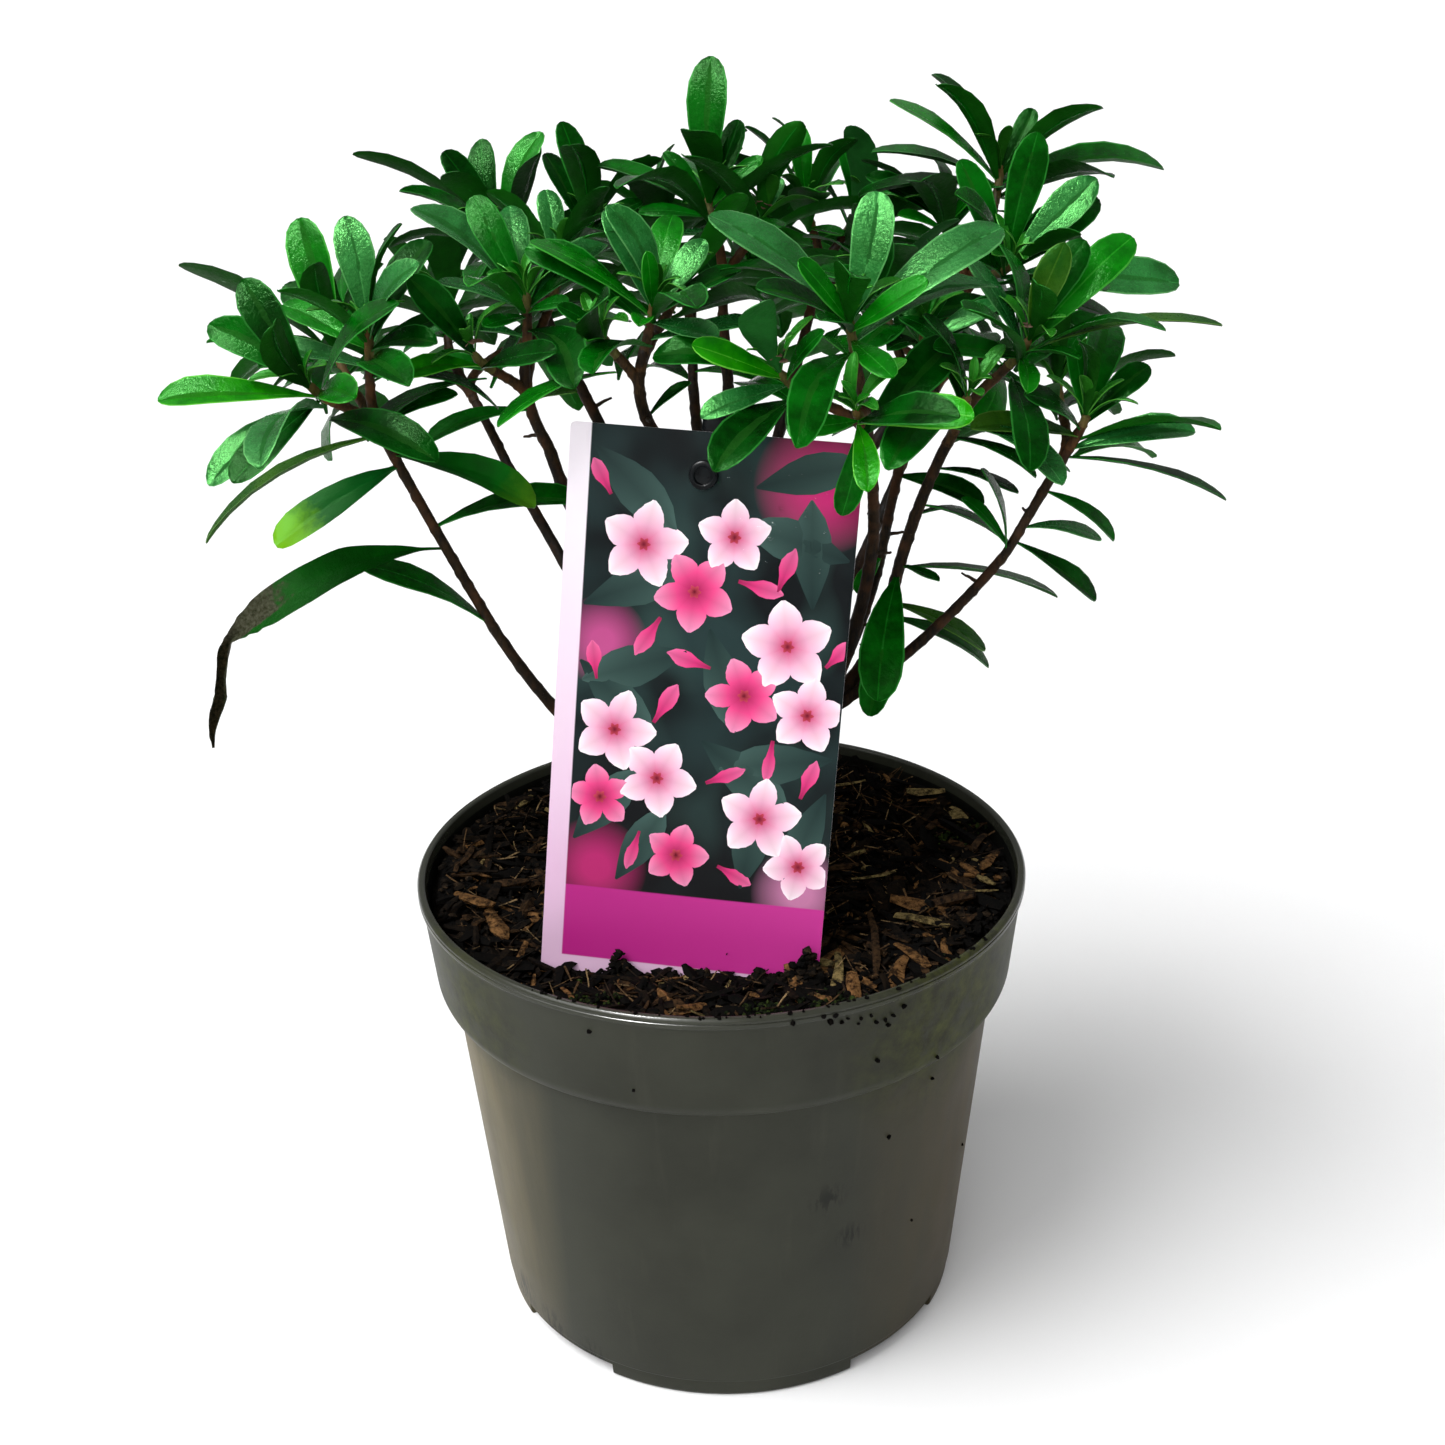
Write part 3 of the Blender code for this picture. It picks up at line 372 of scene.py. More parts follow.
# What each grows from and how far along it, a point it passes, its tip, and its two radii
boughPlans = {
    "bough_left": ("trunk", 0.45, (-51, -5, 206), (-63, -7, 226), 2.3, 1.6),
    "bough_centre": ("trunk", 0.90, (-5, 4, 197), (-8, 2, 220), 3.8, 3.2),
    "bough_right": ("trunk", 0.55, (20, 4, 182), (37, 3, 203), 4.0, 3.4),
    "bough_back": ("trunk", 0.75, (2, 16, 192), (2, 26, 214), 3.8, 3.2),
    "bough_low_back_left": ("trunk", 0.40, (-34, 38, 206), (-66, 66, 258), 2.4, 1.6),
    "bough_low_back_right": ("trunk", 0.35, (34, 40, 206), (62, 70, 256), 2.4, 1.6),
    "bough_centre_left": ("bough_centre", 0.75, (-32, 5, 242), (-47, 7, 279), 2.4, 1.8),
    "bough_middle": ("bough_centre", 0.95, (-11, -2, 250), (-16, -6, 286), 2.3, 1.8),
    "bough_front": ("bough_right", 0.80, (43, -1, 232), (46, -4, 252), 2.3, 1.8),
    "bough_right_stem": ("bough_right", 0.95, (46, 5, 214), (51, 6, 225), 2.5, 2.0),
    "bough_inner_right": ("bough_right", 0.60, (41, 13, 214), (50, 17, 240), 2.1, 1.6),
    "bough_far_right": ("bough_right", 0.85, (66, -5, 228), (83, -8, 249), 1.9, 1.4),
    "bough_upper_right": ("bough_back", 0.85, (34, 30, 252), (62, 35, 290), 2.5, 1.7),
    "bough_top": ("bough_back", 0.95, (4, 27, 258), (5, 28, 292), 2.4, 1.7),
    "bough_back_left": ("bough_back", 0.60, (-22, 34, 252), (-40, 43, 290), 2.4, 1.7),
    "bough_back_right": ("bough_back", 0.80, (17, 48, 258), (26, 60, 288), 2.4, 1.7),
    "bough_far_back": ("bough_back", 0.70, (-3, 58, 246), (-6, 82, 280), 2.4, 1.7),
}

# stem: a point it passes and its end. shoots: place on the stem, tip, leaves of its spiral, and
# its leaves that stand out as (bearing, rise, length), then how far a leaf turns to the light
# and its tone where it has one of its own. lowLeaves: place on the stem, then the same.
massPlans = {
    "foliage_left": {
        "bough": "bough_left", "stem": ((-82, -10, 267), (-93, -12, 293)),
        "shoots": (
            (1.0, (-92, -18, 321), 6, (124, 76, 30, "silver"), (319, 43, 29, "silver"),
             (41, 45, 30), (325, -2, 25), (25, 4, 20), (154, 10, 28)),
            (0.96, (-108, 15, 309), 6, (177, 30, 49, 0.0), (197, 8, 36, 0.3, "fresh"),
             (131, 70, 38, 0.8), (237, 2, 30), (283, -9, 26), (113, 58, 29, -0.3)),
            (0.98, (-107, -30, 310), 6, (189, -3, 39, 0.25, "bright"), (159, 58, 31), (304, 3, 30),
             (204, -40, 38, "silver"), (225, -36, 35, "deep")),
        ),
        "lowLeaves": ((0.97, 191, -26, 58, 0.08, "oliveSlim"), (0.86, 206, -25, 41, 1, "limeTip"),
                      (0.24, 190, 38, 43, 0.2), (0.63, 8, 6, 45),
                      (0.9, 346, -15, 43, 0.3, "oliveTip"), (0.99, 15, 21, 24, 0.7),
                      (0.94, 312, 7, 22, 0.7)),
    },
    "foliage_centre_left": {
        "bough": "bough_centre_left", "stem": ((-53, 8, 297), (-52, 6, 311)),
        "shoots": (
            (0.55, (-66, -5, 312), 4, (206, 51, 29, "deep"), (218, -7, 23, "bright"),
             (321, 7, 32, 0.6, "deep")),
            (1.0, (-51, 5, 326), 6, (105, 45, 30, "silver"), (28, 26, 28, "silver"),
             (162, 36, 40, 0.15, "silver"), (199, 12, 25, 0.3, "silver"), (0, 22, 22, 0.5),
             (315, -1, 17), (236, -17, 20)),
            (0.6, (-43, 28, 330), 8, (114, 66, 22, "silver"), (47, 75, 21, "silver")),
        ),
        "lowLeaves": ((0.5, 198, -11, 32), (0.55, 326, 18, 18, "olive")),
    },
    "foliage_middle": {
        "bough": "bough_middle", "stem": ((-20, -8, 301), (-18, -8, 312)),
        "shoots": (
            (1.0, (-15, -10, 326), 6, (154, 60, 27, "silver"), (30, 42, 22, "silver"),
             (170, 26, 37, 0.1), (311, -14, 27, "silver"), (267, 54, 17, "fresh"),
             (19, 15, 26, 0.2), (260, -8, 20, "fresh")),
            (0.6, (-29, -12, 317), 6, (216, 36, 17), (257, 8, 15, "fresh")),
            (0.8, (-8, 16, 327), 8),
        ),
        "lowLeaves": ((0.35, 20, 35, 16),),
    },
    "foliage_top": {
        "bough": "bough_top", "stem": ((4, 34, 312), (4, 40, 326)),
        "shoots": (
            (1.0, (0, 45, 346), 8, (74, 81, 39), (39, 58, 24), (163, 13, 35, 0.3), (162, 44, 18),
             (0, 42, 19), (197, -7, 21)),
            (0.8, (16, 50, 339), 8, (193, -8, 35, 0.3, "silver"), (259, 46, 12), (33, 54, 13),
             (180, 32, 15)),
        ),
    },
    "foliage_front": {
        "bough": "bough_front", "stem": ((45, -12, 275), (42, -20, 297)),
        "shoots": (
            (0.8, (18, -30, 311), 5, (204, 20, 26, "bright"), (214, -19, 26, "silver"),
             (313, 37, 20), (286, -42, 23)),
            (1.0, (37, -25, 324), 6, (37, 72, 32, "silver"), (14, 27, 47, 0.5, "silver"),
             (333, 24, 24, "fresh"), (292, -24, 28, "fresh"), (167, 34, 45, 0.3, "silver"),
             (210, 45, 22, "fresh"), (194, 32, 29, 0.6), (232, 9, 21)),
            (0.92, (38, -40, 302), 4, (277, -47, 24, "bright"), (338, 2, 31, 0.7, "bright"),
             (237, -75, 28), (211, -7, 19)),
        ),
    },
    "foliage_inner_right": {
        "bough": "bough_inner_right", "stem": ((54, 16, 263), (60, 13, 291)),
        "shoots": (
            (1.0, (61, 10, 314), 8, (53, 64, 17, "fresh"), (312, -16, 20, "olive"), (231, -11, 18),
             (15, 11, 23)),
            (0.85, (50, 34, 322), 9),
        ),
        "lowLeaves": ((0.2, 240, -30, 18), (0.62, 347, -16, 27, 0.8, "deep")),
    },
    "foliage_right": {
        "bough": "bough_right_stem", "stem": ((62, 5, 266), (73, 1, 292)),
        "shoots": (
            (1.0, (88, -10, 314), 6, (319, 70, 27, 0.7, "olive"), (16, 59, 29, "deep"),
             (22, 39, 40, 0.5, "fresh"), (2, 3, 53, -0.12, "oliveSlim"), (261, -23, 24, "fresh"),
             (309, -10, 18, 0.2), (154, 48, 27, 0.2, "silver"), (200, 0, 29)),
            (0.85, (70, -20, 301), 6),
        ),
        "lowLeaves": ((0.36, 255, -41, 43, 1), (0.26, 247, -57, 36, 1),
                      (0.25, 348, -25, 32, "olive"), (0.2, 0, -27, 36), (0.21, 318, -14, 22),
                      (0.38, 355, -10, 48, -0.15), (0.39, 322, -9, 14), (0.62, 352, -23, 30, -0.1),
                      (0.58, 11, 7, 21, -0.1), (0.88, 347, -20, 27, 0.1), (0.93, 0, -30, 36, 0.1),
                      (0.76, 346, -14, 25, 0.1)),
    },
    "foliage_far_right": {
        "bough": "bough_far_right", "stem": ((94, -10, 270), (101, -10, 283)),
        "shoots": (
            (1.0, (105, -10, 292), 5, (23, 31, 23, "deep"), (190, 0, 35, 0.4, "olive"),
             (220, 23, 27), (100, 54, 21)),
            (0.85, (101, 14, 296), 8),
        ),
        "lowLeaves": ((0.97, 353, 11, 35, 0.8, "silver"), (0.92, 352, -13, 47, 0, "deepSlim"),
                      (0.3, 351, -36, 30), (0.2, 218, 70, 29), (0.24, 155, 46, 20),
                      (0.4, 9, -11, 25), (0.68, 349, -33, 25)),
    },
    "foliage_upper_right": {
        "bough": "bough_upper_right", "stem": ((75, 42, 312), (80, 46, 322)),
        "shoots": (
            (1.0, (89, 60, 351), 7, (158, 51, 34, 0.25), (177, 30, 39, 0.5), (0, 0, 49, 0.6),
             (23, 57, 19), (186, 8, 40, 0.4), (193, 3, 44, 0.3), (250, -9, 22)),
            (0.85, (88, 30, 327), 7, (49, 70, 38), (9, 43, 34, "silver"), (151, 60, 33),
             (16, 30, 34, 0.5, "deep"), (358, -7, 50, 0.3), (219, 19, 20)),
            (0.8, (72, 56, 338), 7, (169, 37, 26), (331, 52, 13), (208, 5, 17), (223, 43, 12)),
        ),
    },
    "foliage_back_left": {
        "bough": "bough_back_left", "stem": ((-50, 51, 310), (-54, 56, 320)),
        "shoots": (
            (1.0, (-64, 60, 336), 8, (188, 25, 31, 0.4), (180, 57, 27, 0.6), (126, 69, 27),
             (24, 62, 31, "fresh"), (180, 30, 48, -0.35, "deepSlim")),
            (0.75, (-36, 65, 335), 9, (141, 72, 32, 0.8), (143, 51, 27), (21, 21, 18)),
        ),
    },
    "foliage_back_right": {
        "bough": "bough_back_right", "stem": ((32, 69, 308), (35, 74, 319)),
        "shoots": (
            (1.0, (31, 75, 339), 8, (130, 81, 24, 0.4), (158, 58, 30, -0.2),
             (255, 19, 15, "fresh"), (306, -23, 19)),
            (0.9, (47, 84, 335), 9, (125, 70, 22), (0, 22, 19)),
        ),
    },
    "foliage_far_back": {
        "bough": "bough_far_back", "stem": ((-6, 92, 297), (-6, 97, 306)),
        "shoots": (
            (1.0, (-24, 106, 321), 14, (98, 12, 40)),
            (0.95, (12, 110, 320), 14, (78, 4, 42)),
            (0.55, (-14, 84, 332), 12),
        ),
        "lowLeaves": ((0.15, 120, 0, 32), (0.3, 330, 0, 28)),
    },
    "foliage_low_back_left": {
        "bough": "bough_low_back_left", "stem": ((-78, 76, 280), (-84, 80, 290)),
        "shoots": (
            (1.0, (-86, 94, 308), 14),
            (0.75, (-110, 62, 300), 14),
            (0.7, (-58, 112, 300), 14),
        ),
    },
    "foliage_low_back_right": {
        "bough": "bough_low_back_right", "stem": ((73, 80, 277), (78, 84, 288)),
        "shoots": (
            (1.0, (78, 96, 305), 14),
            (0.75, (98, 66, 298), 13),
            (0.7, (48, 118, 299), 14),
        ),
    },
}

# The bent leaf. blade: place on the stem, bearing, rise and length. strip: the last three.
bentPlan = {
    "mass": "foliage_left", "blade": (0.55, 195, -19.0, 67), "strip": (194, -75, 32.5),
    "width": 0.2, "arch": 0.16,    # shares of its length
    "inset": 3.0, "stripWidth": 4.4, "stripArch": 0.03,
}

leafRule = {
    "golden": 137.5,           # degrees round the shoot from one leaf to the next
    "length": 42.0,
    "width": 0.32,             # of its length
    "thick": 1.0,
    "longLeaf": 36.0,
    "arch": 0.07,
    "lowTilt": 98.0,           # degrees from the shoot's heading, lowest and highest leaf
    "highTilt": 24.0,
    "leafyLength": 13.0,
    "standDrop": 5.0,          # how far below the tip a leaf that stands out starts
    "rootWidth": 1.5,
    "twigRadii": (1.5, 1.4),
    "sunward": np.array([0.0, -1.0, 0.35]),
    "lowLight": 0.3,
    "outward": 0.4,
    "stemEndRadius": 1.5,
    "straightFoot": 2.0,
    "bareFoot": 6.0,
    "clearance": 0.35,
    "fineClearance": 0.05,     # for the leaves that only the looks have
    "rootShare": 0.16,
    "nudges": ((0, 0), (7, 0), (-7, 0), (0, 6), (0, -6), (14, 0), (-14, 0), (0, 12), (0, -12),
               (26, 6), (-26, 6), (14, -12), (-14, -12)),
    "reach": 118.0,
    "steepest": 88.0,          # degrees
    # Fine leaves leave the label's stud clear
    "studPlace": np.array([-2.5, -29.6, 282.1]),
    "studClear": 32.0,
}


def soilHeight(x, y):
    # A mound round the trunk, a rise against the front of the rim, and loose chips heaped
    # a little against the wall behind and beside the trunk
    mound = np.exp(-((x - trunkPlan["foot"][0]) ** 2 + (y - trunkPlan["foot"][1]) ** 2) / 1200.0)
    front = np.clip((-y - 52.0) / 34.0, 0.0, 1.0)
    side = np.clip(1.0 - (x / 75.0) ** 2, 0.0, 1.0)
    rise = soilPlan["frontRise"] * front * front * (3.0 - 2.0 * front) * side
    edge = np.clip((np.hypot(x, y) - 58.0) / 28.0, 0.0, 1.0)
    behind = np.clip((y + 45.0) / 40.0, 0.0, 1.0)
    heaped = soilPlan["edgeRise"] * edge * edge * (3.0 - 2.0 * edge) * behind
    return soilPlan["level"] + soilPlan["mound"] * mound + rise + heaped


def bowed(start, via, end, steps):
    # The parabola through three points, spaced evenly in its own measure
    start, via, end = (np.array(p, float) for p in (start, via, end))
    first = np.linalg.norm(via - start)
    share = first / (first + np.linalg.norm(end - via))
    t = np.linspace(0.0, 1.0, steps)[:, None]
    return (start * (t - share) * (t - 1.0) / share + via * t * (t - 1.0) / (share * (share - 1.0))
            + end * t * (t - share) / (1.0 - share))


def along(path, share):
    # The point at a share of a path's steps, and the path's way there
    reach = share * (len(path) - 1)
    low = min(int(reach), len(path) - 2)
    step = path[low + 1] - path[low]
    return path[low] + step * (reach - low), unit(step)


def heading(bearing, rise):
    # (cos e cos a, cos e sin a, sin e) for a bearing a and a rise e
    a, e = math.radians(bearing), math.radians(rise)
    return np.array([math.cos(e) * math.cos(a), math.cos(e) * math.sin(a), math.sin(e)])


def growLimbs():
    # Each limb as its coarse path, its fine path and its radii at both ends
    foot = float(soilHeight(*trunkPlan["foot"])) + gap
    fork = trunkPlan["fork"]
    start = np.array([*trunkPlan["foot"], foot])
    shares = np.array([share for share, _ in trunkPlan["radii"]])
    lean = (shares * shares)[:, None]
    path = start + (np.array(fork) - start) * np.hstack([lean, lean, shares[:, None]])
    limbs = {"trunk": (path, path, [radius for _, radius in trunkPlan["radii"]])}
    for name, (parent, share, via, tip, thick, thin) in boughPlans.items():
        start, _ = along(limbs[parent][0], share)
        limbs[name] = (bowed(start, via, tip, 7), bowed(start, via, tip, 60), (thick, thin))
    return limbs


def barkRelief(points, a, run, radii, seed):
    # Long ridges, pits, and rings where leaves stood, each over part of the round
    ridges = softNoise(points * np.array([1.0, 1.0, 0.22]), 1.3, 7 + seed) - 0.5
    pits = softNoise(points, 0.7, 11 + seed) - 0.5
    chance = np.random.RandomState(seed)
    rings = np.zeros_like(radii)
    place = 3.0
    while place < run[-1]:
        side = 0.55 + 0.45 * np.cos(a - chance.uniform(0, 2 * math.pi))
        rings += (np.exp(-((run - place) / 0.9) ** 2)[:, None] * side[None]
                  - 0.4 * np.exp(-((run - place - 1.8) / 0.7) ** 2)[:, None] * side[None])
        place += chance.uniform(4.0, 11.0)
    share = radii / 4.0
    return 0.42 * ridges * share + 0.22 * pits * share + 0.27 * rings


def trunkRelief(points, a, run, radii, seed):
    # The bark's relief and three root flares that fade up the trunk
    flare = 0.16 * np.cos(3 * a[None] + 0.6) * np.exp(-run / 7.0)[:, None]
    return barkRelief(points, a, run, radii, seed) + radii * flare


def barkFinish(name, dark, light, red):
    # Dark brown bark with paler ridges, red-brown patches and pale pores
    f = Finish(name, light, 0.66, Specular_IOR_Level=0.10)
    grain = f.noise(900.0, 5.0, 0.65, (1.0, 1.0, 0.25))
    colour = f.blend(grain, 0.36, 0.66, dark, light)
    colour = f.blend(f.noise(120.0), 0.48, 0.68, colour, red, (0.0, 0.75))
    pale = tuple(min(c * 2.6 + 0.02, 1.0) for c in light)
    pores = f.noise(1500.0, 1.0, stretch=(1.0, 1.0, 1.6))
    f.set("Base Color", f.blend(pores, 0.70, 0.78, colour, pale, (0.0, 0.5)))
    f.set("Roughness", f.between(grain, 0.3, 0.7, (0.45, 0.8)))
    f.bump(grain, 0.5, 0.0006)
    return f


def smoothPath(path, steps):
    # Catmull-Rom curve through a path's points
    path = np.asarray(path, float)
    padded = np.vstack([2 * path[0] - path[1], path, 2 * path[-1] - path[-2]])
    t = np.linspace(0, len(path) - 1, steps)
    low = np.minimum(t.astype(int), len(path) - 2)
    f = (t - low)[:, None]
    p0, p1, p2, p3 = (padded[low + k] for k in range(4))
    return 0.5 * (2 * p1 + (p2 - p0) * f + (2 * p0 - 5 * p1 + 4 * p2 - p3) * f ** 2
                  + (3 * p1 - p0 - 3 * p2 + p3) * f ** 3)


def makeBark(limbs):
    # The trunk with root flares, and boughs that swell where they start
    parts = []
    for index, (name, (_, path, radii)) in enumerate(limbs.items()):
        if name == "trunk":
            path = smoothPath(path, 70)
            shares = (path[:, 2] - path[0, 2]) / (path[-1, 2] - path[0, 2])
            radii = np.interp(shares, [s for s, _ in trunkPlan["radii"]], radii)
            path[0, 2] -= 1.5                     # its cut sits in the crumbs
            tube = fineTube(path, radii, 40, trunkRelief, 20 + index)
        else:
            run = np.linspace(0.0, np.linalg.norm(path[-1] - path[0]), len(path))
            radii = np.linspace(*radii, len(path)) * (1 + 0.22 * np.exp(-run / 5.0))
            tube = fineTube(path, radii, 20, barkRelief, 20 + index)
        parts.append((*tube, 0))
    finish = barkFinish("barkFinish", (0.0030, 0.0017, 0.0008), (0.018, 0.0100, 0.0045),
                        (0.040, 0.016, 0.0055))
    addPiece("limbBark", *heap(parts), [finish], list(limbs), "bark", 60)


limbs = growLimbs()
makeBark(limbs)
print("bark done:", len(limbs), "limbs")


# Leaves, by the rule of the solids

def leafSolid(leaf, grow, first=0.0):
    # A loft of three-cornered sections: two edges and a keel below
    root, way, up, length, width, arch = leaf[:6]
    side = np.cross(way, up)
    stations = [(0.0, leafRule["rootWidth"] / width), (0.62, 1.0), (1.0, 0.45)]
    if length > leafRule["longLeaf"]:
        stations[1:] = [(0.42, 0.86), (0.80, 0.94), (1.0, 0.40)]
    points = []
    for t, broad in stations:
        t = max(t, first)
        centre = root + way * (length * t) + up * (length * arch * 4.0 * t * (1.0 - t))
        half = width * broad / 2 + grow
        keel = leafRule["thick"] * (0.45 if t > 0.9 else 1.0) + grow
        points += [centre + side * half + up * grow, centre - up * keel,
                   centre - side * half + up * grow]
    return points, tubeFaces(len(stations), 3)


def shootPath(start, startWay, tip, steps):
    # A cubic curve that leaves along its stem and rises to its tip, and its heading there
    run = np.linalg.norm(tip - start)
    endWay = unit((tip - start) / run + np.array([0.0, 0.0, 0.8]))
    a, b, c, d = start, start + startWay * run / 3, tip - endWay * run / 3, tip
    t = np.linspace(0.0, 1.0, steps)[:, None]
    path = (1 - t) ** 3 * a + 3 * (1 - t) ** 2 * t * b + 3 * (1 - t) * t * t * c + t ** 3 * d
    return path, endWay


def upperSide(way, facing):
    # The part of the facing that is square to the way, at length 1
    up = facing - way * float(np.dot(facing, way))
    size = np.linalg.norm(up)
    if size < 0.05:
        return upperSide(way, np.array([0.3, -0.5, 0.2]))
    return up / size


def tilted(axis, turn, tilt):
    # A way that leans from the axis by the tilt, on the side that the turn gives
    across, over = crossAxes(axis, (0.2, 1.0, 0.1))
    return (axis * math.cos(tilt)
            + (across * math.cos(turn) + over * math.sin(turn)) * math.sin(tilt))


def spiralLeaf(name, index, count, tip, axis):
    # Low leaves of the spiral spread and droop, high ones stand up
    chance = random.Random("%s %d" % (name, index))
    rank = (index + 0.5) / count
    turn = math.radians(index * leafRule["golden"] + chance.uniform(-14, 14)
                        + random.Random(name).uniform(0, 360))
    spread = leafRule["highTilt"] - leafRule["lowTilt"]
    tilt = math.radians(leafRule["lowTilt"] + spread * rank ** 1.1 + chance.uniform(-7, 7))
    way = unit(tilted(axis, turn, tilt))
    length = leafRule["length"] * (0.66 + 0.34 * math.sin(math.pi * min(rank * 0.8 + 0.2, 1.0)))
    length *= chance.uniform(0.84, 1.06)
    return tip - axis * (1.0 + leafRule["leafyLength"] * (1.0 - rank)), way, length


def ownWords(extra, light):
    # How far a leaf turns to the light and its tone, from what follows its length
    tone = None
    for word in extra:
        if isinstance(word, str):
            tone = word
        else:
            light = word
    return light, tone


def growMass(name, plan, limbs):
    # The wood of a mass, its aimed leaves, and the spiral's even and odd ones
    path, _, radii = limbs[plan["bough"]]
    way = unit(path[-1] - path[-2])
    foot = path[-1] + way * gap
    curve = foot + way * leafRule["straightFoot"]
    stem = np.vstack([foot, bowed(curve, *plan["stem"], 5)])
    fineStem = np.vstack([path[-1] - way * 3.0, foot, bowed(curve, *plan["stem"], 30)])
    aimed, even, odd, shoots = [], [], [], []
    up = np.array([0.0, 0.0, 1.0])
    run = np.linalg.norm(stem[-1] - stem[0])
    sunward = leafRule["sunward"]
    rods = [(stem, np.linspace(radii[-1] - 0.1, leafRule["stemEndRadius"], len(stem)), 5)]
    for number, (share, tip, count, *standing) in enumerate(plan["shoots"]):
        start, startWay = along(stem, min(share, 0.97))
        tip = np.array(tip, float)
        line, axis = shootPath(start, startWay, tip, 4)
        shoots.append((shootPath(start, startWay, tip, 26)[0], axis))
        rods.append((line, np.linspace(*leafRule["twigRadii"], len(line)), 3))
        for bearing, rise, length, *extra in standing:
            way = heading(bearing, rise)
            tilt = math.acos(max(min(float(np.dot(way, axis)), 1.0), -1.0)) / (math.pi / 2)
            root = tip - axis * (1.0 + leafRule["standDrop"] * tilt)
            whole = tip + way * length - root
            light, tone = ownWords(extra, 1.0)
            reach = np.linalg.norm(whole)
            aimed.append((root, whole / reach, axis + light * sunward, reach, tone))
        label = "%s_%d" % (name, number)
        away = np.array([tip[0] - trunkPlan["fork"][0], tip[1] - trunkPlan["fork"][1], 0.0])
        facing = axis + leafRule["outward"] * away / np.linalg.norm(away)
        for index in range(count):
            root, way, length = spiralLeaf(label, index, count, tip, axis)
            (odd if index % 2 else even).append((root, way, facing, length, None))
    for share, bearing, rise, length, *extra in plan.get("lowLeaves", ()):
        root, _ = along(stem, max(share, leafRule["bareFoot"] / run))
        light, tone = ownWords(extra, leafRule["lowLight"])
        aimed.append((root, heading(bearing, rise), up + light * sunward, length, tone))
    return {"fineStem": fineStem, "shoots": shoots, "rods": rods, "foot": radii[-1], "stem": stem,
            "ranks": (aimed, even, odd)}


def treeOf(points, faces):
    # A solid's faces, ready to be tested for touch
    return BVHTree.FromPolygons([tuple(p) for p in points], faces, epsilon=0.0)


def claimOf(owner, leaf, clearance):
    # The space of a leaf: all of it, and what is left without its root
    root, way, _, length = leaf[:4]
    whole = treeOf(*leafSolid(leaf, clearance))
    outer = treeOf(*leafSolid(leaf, clearance, leafRule["rootShare"]))
    return owner, root + way * length / 2, length * 0.6, whole, outer


def isFree(claim, taken, wood):
    # Whether a leaf touches nothing, but for its root within its own mass
    owner, centre, reach, whole, outer = claim
    for other, place, otherReach, otherWhole, otherOuter in taken:
        if np.linalg.norm(place - centre) > reach + otherReach:
            continue
        if other == owner and outer.overlap(otherOuter):
            return False
        if other != owner and whole.overlap(otherWhole):
            return False
    return not any((outer if other == owner else whole).overlap(tree) for other, tree in wood)


def tryLeaf(owner, spec, taken, wood, middle, clearance, box=None):
    # A leaf turned a little where it would touch something, pass a box or hide the stud
    root, way, facing, length, tone = spec
    bearing = math.degrees(math.atan2(way[1], way[0]))
    rise = math.degrees(math.asin(way[2]))
    for turn, lift in leafRule["nudges"]:
        aim = heading(bearing + turn, min(rise + lift, leafRule["steepest"]))
        leaf = (root, aim, upperSide(aim, facing), length, length * leafRule["width"],
                leafRule["arch"], tone)
        end = root + aim * length
        if np.linalg.norm(end - middle) > leafRule["reach"]:
            continue
        if box is not None and (np.any(end < box[0] + 1.0) or np.any(end > box[1] - 1.0)
                                or np.linalg.norm(end - leafRule["studPlace"])
                                < leafRule["studClear"]):
            continue
        claim = claimOf(owner, leaf, clearance)
        if isFree(claim, taken, wood):
            taken.append(claim)
            return leaf
    return None


def nodeTree(name):
    # The same for a node of the frame
    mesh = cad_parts[name].data
    points = [tuple(v.co / mm) for v in mesh.vertices]
    return treeOf(points, [tuple(p.vertices) for p in mesh.polygons])


def growLeaves(limbs):
    # The aimed leaves first, then the spiral's, each where it is free
    plans = {name: growMass(name, plan, limbs) for name, plan in massPlans.items()}
    wood = [(name, treeOf(*fineTube(*rod))) for name in plans for rod in plans[name]["rods"]]
    wood += [("", nodeTree(name)) for name in [*limbs, "label_card", "label_peg"]]
    share, bearing, rise, length = bentPlan["blade"]
    foot = along(plans[bentPlan["mass"]]["stem"], share)[0]
    way = heading(bearing, rise)
    up = np.array([0.0, 0.0, 1.0])
    bent = (foot, way, upperSide(way, up + leafRule["sunward"]), length,
            length * bentPlan["width"], bentPlan["arch"])
    hang = heading(*bentPlan["strip"][:2])
    inset = bentPlan["inset"]
    end = foot + way * (length - inset) + bent[2] * bentPlan["arch"] * 4.0 * inset
    strip = (end, hang, upperSide(hang, leafRule["sunward"]), bentPlan["strip"][2],
             bentPlan["stripWidth"], bentPlan["stripArch"])
    taken = [claimOf(bentPlan["mass"], leaf, leafRule["clearance"]) for leaf in (bent, strip)]
    leaves = []
    for rank in (0, 1, 2):
        clearance = leafRule["clearance"] if rank < 2 else leafRule["fineClearance"]
        box = np.array(cadBox) / mm if rank == 2 else None
        for name, plan in plans.items():
            middle = np.mean([np.array(s[1], float) for s in massPlans[name]["shoots"]], axis=0)
            for spec in plan["ranks"][rank]:
                leaf = tryLeaf(name, spec, taken, wood, middle, clearance, box)
                if leaf is not None:
                    leaves.append((*leaf, rank))
    return plans, leaves, bent


plans, leaves, bentBlade = growLeaves(limbs)
print("leaves placed:", len(leaves))


# Leaf blades

